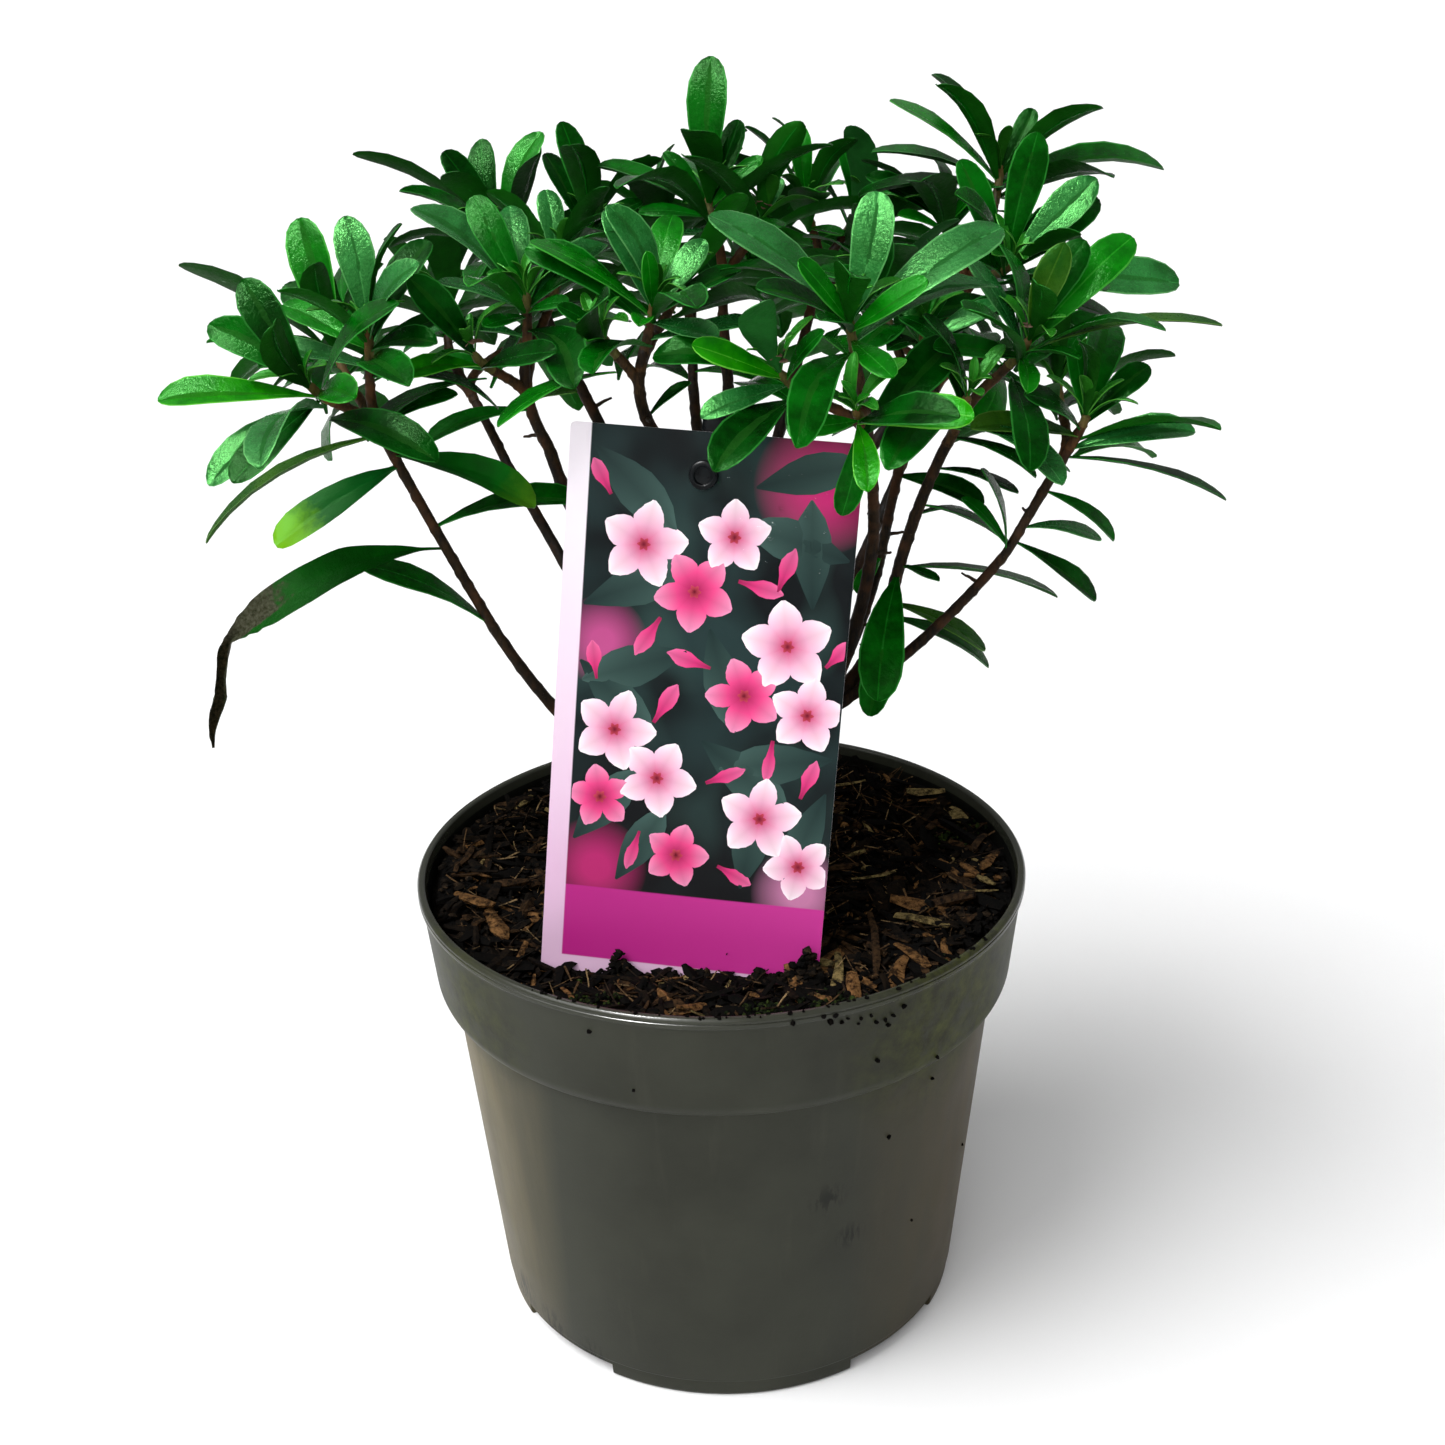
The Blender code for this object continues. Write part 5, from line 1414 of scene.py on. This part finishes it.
soil = {
    "rings": 60, "around": 200,
    "lumps": ((9.0, 2.0), (3.2, 1.5), (1.3, 0.7)),     # size and height of its unevenness
    "chips": 2000, "chipLength": (3.0, 11.5),
    "bigChips": 170, "bigLength": (9.0, 24.0),
    # Chips that stand out: across, back, bearing, length, width, colour
    "placedChips": (
        (-76, -19, -32, 15, 4.6, 3), (-68, -30, -68, 19, 5.6, 3), (-66, -6, 10, 11, 4.0, 2),
        (-76, -1, -9, 11, 2.0, 1), (-59, -1, 35, 9, 1.8, 2), (-61, 20, 73, 14, 3.0, 2),
        (-74, -36, -82, 15, 2.2, 1), (-58, -28, 65, 8, 3.2, 3), (-82, -20, 63, 11, 2.4, 1),
        (-82, 8, 78, 12, 2.4, 2), (70, 47, -2, 13, 7.0, 4), (71, 33, -50, 37, 1.1, 2),
        (44, -46, -92, 38, 2.6, 2), (60, -33, -26, 17, 5.0, 4), (50, -37, -48, 15, 1.6, 2),
        (55, -51, -59, 16, 4.2, 3), (48, -4, 17, 15, 2.0, 4), (55, -15, -94, 15, 6.5, 1),
        (40, -14, 17, 15, 5.5, 1), (45, 60, 18, 12, 2.4, 4), (72, -4, -66, 12, 3.2, 3),
        (84, -4, 60, 11, 3.4, 3), (78, -6, -58, 9, 3.0, 3), (39, 4, 16, 10, 3.8, 2),
        (79, 30, -78, 12, 5.0, 4), (83, 8, 65, 12, 3.2, 2), (82, -14, -52, 7, 2.6, 4),
        (79, -20, 0, 12, 1.3, 4), (32, -62, -97, 23, 3.6, 4), (59, 14, -79, 13, 4.0, 1)),
    "fibres": 820, "crumbs": 4200, "moss": 520,
    "mossPlaces": ((34, -80, 12), (-40, -76, 11), (62, -62, 12), (12, -86, 9), (75, 20, 10)),
    "earth": ((0.0006, 0.0004, 0.0003), (0.0036, 0.0024, 0.0014)),
    "chipColours": ((0.0014, 0.0009, 0.0005), (0.0058, 0.0034, 0.0017), (0.028, 0.0145, 0.0060),
                    (0.110, 0.054, 0.019), (0.135, 0.098, 0.038)),
    "chipShares": (0.56, 0.24, 0.12, 0.06, 0.02),
    "strawColours": ((0.020, 0.012, 0.007), (0.070, 0.040, 0.018), (0.160, 0.105, 0.050)),
    "crumbColours": ((0.0018, 0.0013, 0.0008), (0.007, 0.0045, 0.0025), (0.024, 0.015, 0.008)),
    "mossColours": ((0.005, 0.009, 0.002), (0.018, 0.028, 0.005)),
    "clumps": ((38.0, 3.8, 11.5, 150), (34.0, 5.5, 6.0, 80), (-17.0, 3.2, 8.0, 90),
               (8.0, 2.6, 2.6, 40), (24.0, 2.2, 3.4, 40), (-2.0, 3.0, 2.0, 30)),
}


def cardSpace(points):
    # Places in the label's own frame: across it, behind its front, and up from its foot
    return (np.asarray(points, float) - cardFoot) @ cardTurn


def woodFinish(name, colour):
    # Dark and pale grain of one colour
    f = Finish(name, colour, 0.85, Specular_IOR_Level=0.03)
    grain = f.noise(460.0, 5.0, 0.75)
    f.set("Base Color", f.blend(grain, 0.40, 0.60, times(colour, 0.12), times(colour, 1.5)))
    f.bump(grain, 0.5, 0.0005)
    return f


def woodFinishes(name, colours):
    # One for each colour, with a number behind the name
    return [woodFinish("%s%d" % (name, i + 1), colour) for i, colour in enumerate(colours)]


def splinters(centres, ways, ups, lengths, widths, thicks, seed):
    # Four rings of five points along each piece, pushed about, with its ends closed
    chance = np.random.RandomState(seed)
    count = len(centres)
    u = np.array([-0.5, -0.22, 0.24, 0.5])
    a = ringAngles(5) + 0.3
    side = np.cross(ways, ups)
    w = np.array([0.66, 1.0, 0.95, 0.58]) * chance.uniform(0.7, 1.2, (count, 4))
    across, over = (wave(a) * w[..., None] * chance.uniform(0.75, 1.2, (count, 4, 5))
                    for wave in (np.cos, np.sin))
    bow = chance.uniform(-0.08, 0.08, (count, 1)) * (1 - 4 * u ** 2)
    centre = (centres[:, None] + ways[:, None] * (lengths[:, None] * u)[..., None]
              + side[:, None] * (lengths[:, None] * bow)[..., None])
    across = across * widths[:, None, None] / 2
    over = over * thicks[:, None, None] / 2
    points = (centre[:, :, None] + side[:, None, None] * across[..., None]
              + ups[:, None, None] * over[..., None])
    base = tubeFaces(4, 5, True)
    return points.reshape(-1, 3), copies(base, 20, count), len(base)


def lying(chance, count, reach, tilt):
    # Places on the soil, clear of trunk and label, with a direction and an upper side each
    r = reach * np.sqrt(chance.uniform(0.0, 1.0, count * 2))
    a = chance.uniform(0, 2 * math.pi, count * 2)
    x, y = r * np.cos(a), r * np.sin(a)
    places = np.stack([x, y, soilHeight(x, y)], -1)
    local = cardSpace(places)
    inCard = (np.abs(local[:, 1]) < 2.0) & (np.abs(local[:, 0]) < card["width"] / 2 + 1)
    inTrunk = np.hypot(x - trunkPlan["foot"][0], y - trunkPlan["foot"][1]) < 11.0
    places = places[~inCard & ~inTrunk][:count]
    count = len(places)
    turn = chance.uniform(0, 2 * math.pi, count)
    lift = np.radians(chance.normal(0.0, tilt, count))
    ways = np.stack([np.cos(turn) * np.cos(lift), np.sin(turn) * np.cos(lift), np.sin(lift)], -1)
    ups = np.array([0.0, 0.0, 1.0]) + chance.uniform(-0.5, 0.5, (count, 3))
    return places, ways, unit(ups - ways * np.sum(ups * ways, axis=1)[:, None])


def makeBed():
    # A bed of (r cos a, r sin a, h) with lumps in three sizes, closed down to the pot's floor
    edge = float(innerWall(140.0)) - 0.4
    share = np.linspace(1.0, 0.0, soil["rings"], endpoint=False)[::-1] ** 0.85
    a = ringAngles(soil["around"])
    x, y = share[:, None] * edge * np.cos(a), share[:, None] * edge * np.sin(a)
    z = soilHeight(x, y) - 1.0
    flat = np.stack([x, y, np.zeros_like(x)], -1)
    for index, (size, height) in enumerate(soil["lumps"]):
        z = z + height * (softNoise(flat, size, 70 + index) - 0.5)
    z = z - 1.2 * np.clip((np.hypot(x, y) - edge + 5) / 5, 0, 1)
    rows = [np.stack([x, y, z], -1)]
    for height, inset in ((118.0, 0.5), (113.0, 0.5), (5.4, 0.5), (2.4, 3.6)):
        r = float(innerWall(height)) - inset
        rows.append(np.stack([r * np.cos(a), r * np.sin(a), np.full_like(a, height)], -1)[None])
    rows = np.concatenate(rows)
    f = Finish("peat", soil["earth"][1], 0.95, Specular_IOR_Level=0.04)
    grain = f.noise(520.0, 5.0, 0.75)
    colour = f.blend(grain, 0.38, 0.68, *soil["earth"])
    f.set("Base Color", f.blend(f.noise(90.0), 0.56, 0.74, colour, (0.016, 0.010, 0.005),
                                (0.0, 0.6)))
    f.bump(grain, 0.9, 0.0012)
    addPiece("soilBed", rows.reshape(-1, 3), tubeFaces(len(rows), soil["around"], True), None,
             [f], ["soil"], "soil", 80)


def makeChips(chance):
    # Chips dealt out in two sizes, and with the large ones those that stand out
    finishes = woodFinishes("chip", soil["chipColours"])
    for name, count, lengths, slim, tilt, seed in (
            ("chipsSmall", soil["chips"], soil["chipLength"], (0.15, 0.40), 18.0, 32),
            ("chipsLarge", soil["bigChips"], soil["bigLength"], (0.14, 0.30), 12.0, 33)):
        places, ways, ups = lying(chance, count, 87.0, tilt)
        length = chance.uniform(*lengths, len(places))
        width = length * chance.uniform(*slim, len(places))
        picks = chance.choice(5, len(places), p=soil["chipShares"])
        if name == "chipsLarge":
            x, y, bearing, run, breadth, tone = np.array(soil["placedChips"], float).T
            turn = np.radians(bearing)
            flat = np.zeros_like(x)
            places = np.concatenate([places, np.stack([x, y, soilHeight(x, y) + 1.6], -1)])
            ways = np.concatenate([ways, np.stack([np.cos(turn), np.sin(turn), flat], -1)])
            ups = np.concatenate([ups, np.stack([flat, flat, flat + 1.0], -1)])
            length, width = np.append(length, run), np.append(width, breadth)
            picks = np.append(picks, tone.astype(int))
        thick = width * chance.uniform(0.3, 0.7, len(places))
        places[:, 2] += chance.uniform(-0.6, 1.4, len(places)) + thick * 0.2
        r = np.hypot(places[:, 0], places[:, 1])
        inward = np.minimum(innerWall(146.0) - r - length * 0.5, 0.0) / np.maximum(r, 1.0)
        places[:, :2] *= (1 + inward)[:, None]
        points, faces, each = splinters(places, ways, ups, length, width, thick, seed)
        addPiece(name, points, faces, np.repeat(picks, each), finishes, (), "soil", 35)


def makeFibres(chance):
    # Thin bent straws
    fibres = []
    places, ways, _ = lying(chance, soil["fibres"], 86.0, 22.0)
    steps = np.linspace(-0.5, 0.5, 5)[:, None]
    for place, way in zip(places, ways):
        run = chance.uniform(4.0, 17.0)
        bend = np.cross(way, (0, 0, 1)) * chance.uniform(-2.0, 2.0)
        path = place + way * run * steps + bend * steps ** 2 * 2
        path[:, 2] += chance.uniform(0.2, 1.6)
        r = np.hypot(path[:, 0], path[:, 1])
        path[:, :2] *= np.minimum(1.0, 90.5 / np.maximum(r, 1.0))[:, None]
        radii = np.linspace(0.32, 0.14, 5) * chance.uniform(0.5, 1.3)
        fibres.append((*fineTube(path, radii, 4), int(chance.choice(3, p=(0.4, 0.4, 0.2)))))
    straw = woodFinishes("fibre", soil["strawColours"])
    addPiece("soilFibres", *heap(fibres), straw, (), "soil", 50)


def clumps(chance):
    # Crumbs heaped against the front of the label's foot: along it, before it, height, size
    found = []
    for middle, spread, height, count in soil["clumps"]:
        x = middle + chance.normal(0.0, spread * 0.55, count)
        ahead = -1.6 - np.abs(chance.normal(0.0, spread * 0.6, count))
        base = onCard(np.stack([x, ahead, np.full(count, 4.0)], -1))
        near = np.exp(-((x - middle) / spread) ** 2 - ((ahead + 1.6) / spread) ** 2)
        heaped = chance.uniform(0, 1, count) * height * near
        base[:, 2] = soilHeight(base[:, 0], base[:, 1]) + heaped
        found.append(np.column_stack([base, chance.uniform(0.5, 1.5, count)]))
    return np.concatenate(found)


def makeCrumbs(chance):
    # Crumbs, most of them small, all over and heaped at the label
    places, _, _ = lying(chance, soil["crumbs"], 89.5, 10.0)
    size = 0.35 + 1.1 * chance.uniform(0, 1, len(places)) ** 2.2
    places[:, 2] += chance.uniform(-0.3, 1.0, len(places))
    front = clumps(chance)
    places = np.concatenate([places, front[:, :3]])
    size = np.concatenate([size, front[:, 3]])
    earth = woodFinishes("crumb", soil["crumbColours"])
    picks = chance.choice(3, len(places), p=(0.5, 0.35, 0.15))
    addPiece("soilCrumbs", *blobs(places, size, 34), np.repeat(picks, 20), earth, (), "soil", 45)
    return earth[0]


def makeMoss(chance):
    # Tufts spread about their places
    tufts = []
    count = soil["moss"] // len(soil["mossPlaces"])
    for x, y, reach in soil["mossPlaces"]:
        tufts.append(np.array([x, y]) + chance.normal(0.0, reach / 2.2, (count, 2)))
    flat = np.concatenate(tufts)
    flat = flat * np.minimum(1.0, 90.0 / np.hypot(flat[:, 0], flat[:, 1]))[:, None]
    places = np.column_stack([flat, soilHeight(flat[:, 0], flat[:, 1]) + 0.8])
    places = places[np.abs(cardSpace(places)[:, 1]) > 1.6]
    points, faces = blobs(places, chance.uniform(0.35, 0.95, len(places)), 35, 1.0)
    picks = chance.choice(2, len(places), p=(0.6, 0.4))
    addPiece("soilMoss", points, faces, np.repeat(picks, 20),
             woodFinishes("moss", soil["mossColours"]), (), "soil", 60)


def makeSoil():
    # The bed, and what lies on it by one run of random numbers
    makeBed()
    chance = np.random.RandomState(31)
    makeChips(chance)
    makeFibres(chance)
    earth = makeCrumbs(chance)
    makeMoss(chance)
    return earth


# Plant label: a printed card on a peg, with a stud through it

card = {
    "width": 81.0, "height": 158.0, "thick": 0.8,
    "foot": (-13.3, -56.0, 138.4), "lean": 12.0, "turn": -7.0, "roll": 3.9,
    "stud": (-2.5, 146.4), "studRadius": 4.0, "studHeight": 3.4,
    "corner": 1.4, "pegWidth": 7.0, "pegThick": 2.4, "pegPoint": 0.4,
    "margin": ((0.66, 0.43, 0.60), (0.90, 0.83, 0.90)),
    "band": ((0.40, 0.014, 0.190), (0.52, 0.035, 0.270)),
    "ground": ((0.002, 0.004, 0.005), (0.013, 0.031, 0.031)),
    "stripe": 6.0, "bandFoot": 4.6, "bandTop": 26.0,    # widths and heights of the print
    "blurs": ((30, 146, 19, (0.70, 0.02, 0.20)), (-26, 32, 15, (0.50, 0.02, 0.16)),
              (33, 30, 14, (0.62, 0.22, 0.42)), (-28, 98, 13, (0.55, 0.08, 0.27))),
    "beads": ((14.0, 133.0, 1.25), (16.8, 130.6, 0.95), (17.4, 134.6, 0.7), (8.6, 135.0, 0.55),
              (26.0, 137.4, 0.6), (19.0, 139.0, 0.5)),
}
cardMatrix = Matrix.Translation(card["foot"]) @ Euler(
    [math.radians(v) for v in (-card["lean"], card["roll"], card["turn"])], "YXZ"
).to_matrix().to_4x4()
cardTurn = np.array(cardMatrix.to_3x3())
cardFoot = np.array(card["foot"])

# The print's own motifs. Blossoms: across, up, radius and first petal's bearing.
paleBlossoms = ((-18, 126, 12.5, 80), (7, 130, 10.5, 20), (24, 101, 13.0, 100), (31, 82, 11.0, 10),
                (-23, 73, 12.0, 0), (-10, 60, 11.5, 64), (20, 51, 12.0, 12), (32, 38, 10.0, 45))
roseBlossoms = ((-3, 114, 11.5, 50), (13, 86, 11.0, 40), (-26, 53, 9.5, 30), (-3, 38, 9.5, 75))
# Buds and leaves: across, up, bearing, length, width
buds = ((-12, 106, 240, 13, 4.8), (9, 118, -12, 13, 4.8), (-28, 139, 120, 11, 4.4),
        (20, 116, 72, 13, 4.8), (35, 96, 50, 10, 4.4), (3, 93, 165, 13, 4.8),
        (22, 74, 265, 12, 4.6), (-12, 76, 62, 13, 4.8), (-29, 87, 100, 11, 4.4),
        (4, 60, 25, 12, 4.6), (9, 36, -25, 11, 4.4), (31, 58, 72, 12, 4.6),
        (-14, 44, 255, 12, 4.6))
printLeaves = ((-33, 152, -42, 32, 12), (12, 144, 18, 30, 11), (39, 126, 165, 30, 12),
               (-34, 108, 24, 33, 12), (2, 104, 288, 30, 11), (-4, 97, 200, 31, 12),
               (39, 70, 190, 32, 12), (-34, 92, -42, 30, 11), (-33, 40, 52, 28, 11),
               (2, 72, -35, 32, 12), (16, 30, 82, 28, 11), (-20, 29, 60, 26, 10),
               (38, 60, 250, 28, 10), (30, 112, 95, 30, 11))


def onCard(points):
    # Places in the object's frame from those in the label's own
    return np.asarray(points, float) @ cardTurn.T + cardFoot


def cardBow(x, z):
    # How far the card's face lies back: 0.35 x^2 and a wave up the card, with x in half widths
    x = x / (card["width"] / 2)
    return 0.35 * x ** 2 + 0.25 * np.sin(z / card["height"] * 5.0) * x * np.abs(x)


def printShapes(shapes, widths, lift):
    # point = start + way L t + across (W/2) w(t) s, a film on the card's front, cut at its edges
    x, z, bearing, length, width = (np.array(v, float)[:, None] for v in zip(*shapes))
    t = np.linspace(0, 1, len(widths))
    s = np.array([-1.0, -0.5, 0.0, 0.5, 1.0, 0.5, -0.5])
    depth = np.array([0.04, 1, 1, 1, 0.04, 0, 0]) * lift - np.array([0] * 5 + [0.05, 0.05])
    c, d = np.cos(np.radians(bearing)), np.sin(np.radians(bearing))
    run, half = length * t, width / 2 * np.array(widths)
    x = (x + c * run)[..., None] - (d * half)[..., None] * s
    z = (z + d * run)[..., None] + (c * half)[..., None] * s
    x = np.clip(x, card["stripe"] - card["width"] / 2 + 0.3, card["width"] / 2 - 0.5)
    z = np.clip(z, card["bandTop"] + 0.3, card["height"] - 0.5)
    points = np.stack([x, cardBow(x, z) - card["thick"] / 2 - depth, z], -1)
    faces = copies(tubeFaces(len(t), len(s)), len(t) * len(s), len(shapes))
    return onCard(points.reshape(-1, 3)), faces, ribbonUv(t, s, len(shapes))


def inkFinish(name, colours, marks, streak):
    # Colours one after another along a petal, bud or leaf, with a deeper line along its middle
    f = Finish(name, colours[-1], 0.34, Specular_IOR_Level=0.12)
    axes = f.axes("UV")
    colour = colours[0]
    for low, high, following in zip(marks, marks[1:], colours[1:]):
        colour = f.blend(axes["X"], low, high, colour, following)
    edge = f.reckon("ABSOLUTE", f.reckon("SUBTRACT", axes["Y"], 0.5))
    f.set("Base Color", f.blend(edge, 0.02, 0.42, colour, times(colours[0], 0.55),
                                (streak, 0.0)))
    return f


def cardFinish():
    # Blurred dark ground, a pale margin at the left and foot, and a magenta band
    f = Finish("cardPrint", card["ground"][1], 0.32, Specular_IOR_Level=0.12)
    w, h = card["width"], card["height"]
    even = (w / 100.0, h / 100.0, 1.0)
    axes = f.axes("UV")
    u, v = axes["X"], axes["Y"]
    colour = f.blend(f.noise(3.2, 2.0, 0.4, even, "UV", 0.6), 0.38, 0.66, *card["ground"])
    green = f.noise(5.0, 1.0, stretch=(w / 100.0, h / 160.0, 2.0), kind="UV")
    colour = f.blend(green, 0.52, 0.70, colour, (0.026, 0.060, 0.054), (0.0, 0.7))
    colour = f.blend(v, 0.50, 0.14, colour, (0.0025, 0.002, 0.003), (0.0, 0.85))
    where = f.where(even, "UV")
    for x, z, reach, ink in card["blurs"]:
        near = f.near(where, ((x + w / 2) / 100.0, z / 100.0, 0.0), reach / 100.0,
                      reach / 400.0, 0.8)
        colour = f.mix(near, colour, ink)
    foot, top, stripe = card["bandFoot"] / h, card["bandTop"] / h, card["stripe"] / w
    colour = f.blend(v, top + 0.001, top - 0.001, colour, f.mix(u, *card["band"]))
    margin = f.blend(v, 0.2, 0.9, *card["margin"])
    colour = f.blend(v, foot + 0.001, foot - 0.001, colour, margin)
    f.set("Base Color", f.blend(u, stripe + 0.002, stripe - 0.002, colour, margin))
    gloss = f.noise(14.0, 2.0, stretch=even, kind="UV")
    f.set("Roughness", f.between(gloss, 0.3, 0.7, (0.28, 0.36)))
    return f


def paperFinish():
    # Off-white with a faint grain
    f = Finish("cardEdge", (0.82, 0.80, 0.82), 0.5)
    grain = f.noise(700.0)
    f.set("Base Color", f.blend(grain, 0.3, 0.7, (0.74, 0.71, 0.75), (0.86, 0.84, 0.86)))
    f.bump(grain, 0.1, 0.0002)
    return f


def makeCard():
    # A slab with small round corners, front and back as grids that share its rim
    w, h = card["width"] / 2, card["height"]
    across = np.concatenate([[0.0, 0.006, 0.018], np.linspace(0.05, 0.95, 19),
                             [0.982, 0.994, 1.0]])
    up = np.concatenate([[0.0, 0.003, 0.009], np.linspace(0.03, 0.97, 33), [0.991, 0.997, 1.0]])
    u, v = np.meshgrid(across, up)
    x, z = (u * 2 - 1) * w, v * h
    corner = card["corner"]
    dx = np.maximum(np.abs(x) - (w - corner), 0)
    dz = np.maximum(np.abs(z - h / 2) - (h / 2 - corner), 0)
    both = (dx > 0) & (dz > 0)
    shrink = np.where(both, np.minimum(1.0, corner / np.maximum(np.hypot(dx, dz), 1e-6)), 1.0)
    x = np.sign(x) * np.where(both, w - corner + dx * shrink, np.abs(x))
    z = h / 2 + np.sign(z - h / 2) * np.where(both, h / 2 - corner + dz * shrink,
                                              np.abs(z - h / 2))
    sides = [np.stack([x, cardBow(x, z) + side * card["thick"] / 2, z], -1).reshape(-1, 3)
             for side in (-1, 1)]
    rows, columns = x.shape
    quads = gridFaces(rows, columns, False)
    number = np.arange(rows * columns).reshape(rows, columns)
    rim = np.concatenate([number[0], number[1:, -1], number[-1, -2::-1], number[-2:0:-1, 0]])
    after = np.roll(rim, -1)
    other = rows * columns
    faces = quads.tolist() + (quads[:, ::-1] + other).tolist()
    faces += np.stack([after, rim, rim + other, after + other], -1).tolist()
    slots = [0] * len(quads) + [1] * (len(quads) + len(rim))
    uv = np.tile(np.stack([u, v], -1).reshape(-1, 2), (2, 1))
    addPiece("labelCard", onCard(np.concatenate(sides)), faces, slots,
             [cardFinish(), paperFinish()], ["label_card"], "label_card", 40, uv)


def makePrints():
    # Petals in fives, round centres of six dots, above buds and leaves
    pale, rose = ([(x, z, first + 72.0 * k, size, size * 0.74)
                   for x, z, size, first in kind for k in range(5)]
                  for kind in (paleBlossoms, roseBlossoms))
    centres = [(x, z, k * 60.0, 1.9, 2.0) for x, z, *_ in paleBlossoms + roseBlossoms
               for k in range(6)]
    petal = (0.16, 0.42, 0.74, 0.94, 1.0, 0.88, 0.60, 0.12)
    for name, shapes, widths, lift, ink, colours, marks, streak in (
            ("printLeaves", printLeaves, (0.06, 0.45, 0.80, 1.0, 0.95, 0.66, 0.05), 0.03,
             "leafInk", ((0.009, 0.025, 0.024), (0.044, 0.092, 0.080)), (0.0, 0.9), 0.35),
            ("printBuds", buds, (0.22, 0.30, 0.55, 0.95, 1.0, 0.80, 0.10), 0.06,
             "budInk", ((0.30, 0.008, 0.070), (0.66, 0.035, 0.19), (0.75, 0.14, 0.33)),
             (0.0, 0.35, 1.0), 0.3),
            ("printRoses", rose, petal, 0.08,
             "roseInk", ((0.36, 0.006, 0.075), (0.74, 0.060, 0.230), (0.80, 0.27, 0.46)),
             (0.05, 0.42, 0.95), 0.2),
            ("printPetals", pale, petal, 0.10,
             "petalInk", ((0.55, 0.030, 0.150), (0.80, 0.42, 0.58), (0.95, 0.84, 0.90)),
             (0.05, 0.42, 0.95), 0.2),
            ("printCentres", centres, (0.3, 0.8, 1.0, 0.7, 0.2), 0.13,
             "centreInk", ((0.22, 0.01, 0.03), (0.50, 0.05, 0.08)), (0.0, 1.0), 0.1)):
        points, faces, uv = printShapes(shapes, widths, lift)
        addPiece(name, points, faces, None, [inkFinish(ink, colours, marks, streak)], (),
                 "label_card", 50, uv)


def turnedSolid(profile, steps):
    # (r cos a, y, r sin a) for a profile (r, y), closed by a cap at each end
    a = ringAngles(steps)
    r, y = np.array(profile, float).T[..., None]
    points = np.stack(np.broadcast_arrays(r * np.cos(a), y, r * np.sin(a)), -1)
    return points.reshape(-1, 3), tubeFaces(len(profile), steps)


def pegFinish():
    # Black plastic with faint clouds
    f = Finish("pegPlastic", (0.002, 0.003, 0.0035), 0.28, Specular_IOR_Level=0.10)
    cloud = f.noise(300.0)
    f.set("Base Color", f.blend(cloud, 0.35, 0.7, (0.001, 0.0015, 0.002),
                                (0.004, 0.006, 0.007)))
    f.set("Roughness", f.between(cloud, 0.3, 0.7, (0.22, 0.38)))
    f.bump(f.noise(1600.0), 0.06, 0.0003)
    return f


def makePeg():
    # A flat peg of rounded section that narrows into the soil, and a dished stud on the card
    stations = ((163.0, 0.55), (162.6, 0.80), (161.6, 1.0), (150.0, 1.0), (80.0, 1.0), (0.0, 1.0),
                (-20.0, 0.78), (-40.0, 0.54), (-52.0, card["pegPoint"]))
    a = ringAngles(20)
    ox, oy = (np.sign(f) * np.abs(f) ** 0.55 for f in (np.cos(a), np.sin(a)))
    x = card["stud"][0] + 1.6
    y = card["thick"] / 2 + gap + card["pegThick"] / 2
    peg = np.concatenate([np.stack([x + ox * card["pegWidth"] / 2 * share,
                                    y + oy * card["pegThick"] / 2, np.full(20, z)], -1)
                          for z, share in stations])
    front = -card["thick"] / 2 - gap
    face, r = front - card["studHeight"], card["studRadius"]
    profile = [(1.6, 1.5), (1.6, front), (r - 0.3, front), (r, front - 0.3), (r, face + 0.7),
               (r - 0.15, face + 0.25), (r - 0.6, face), (r - 1.3, face), (r - 1.55, face + 0.2),
               (r - 1.7, face + 0.7), (0.6, face + 0.8)]
    stud, studFaces = turnedSolid(profile, 40)
    stud = stud + np.array([card["stud"][0], 0.0, card["stud"][1]])
    points, faces, slots = heap([(peg, tubeFaces(len(stations), 20, True), 0),
                                 (stud, studFaces, 0)])
    addPiece("labelPeg", onCard(points), faces, slots, [pegFinish()], ["label_peg"],
             "label_peg", 40)


def makeBeads():
    # Drops of water on the card: half balls, a little flat
    chance = np.random.RandomState(4)
    dealt = [chance.uniform(4, 32, 16), chance.uniform(122, 150, 16),
             chance.uniform(0.22, 0.42, 16)]
    lift = np.radians([-12.0, 8, 30, 52, 72, 86])
    parts = []
    for x, z, size in np.concatenate([card["beads"], np.column_stack(dealt)]):
        y = -card["thick"] / 2 - np.sin(lift) * size * 0.62
        points, faces = turnedSolid(np.column_stack([np.cos(lift) * size, y]), 14)
        parts.append((points + np.array([x, 0.0, z]), faces, 0))
    points, faces, slots = heap(parts)
    f = Finish("waterBead", (1.0, 1.0, 1.0), 0.03, Transmission_Weight=1.0, IOR=1.33)
    f.set("Roughness", f.between(f.noise(900.0), 0.3, 0.7, (0.02, 0.05)))
    addPiece("waterBeads", onCard(points), faces, slots, [f], (), "label_card", 80)


makePot()
earth = makeSoil()
makeSpecks(earth)
print("pot and soil done")
makeCard()
makePrints()
makePeg()
makeBeads()
print("label done")
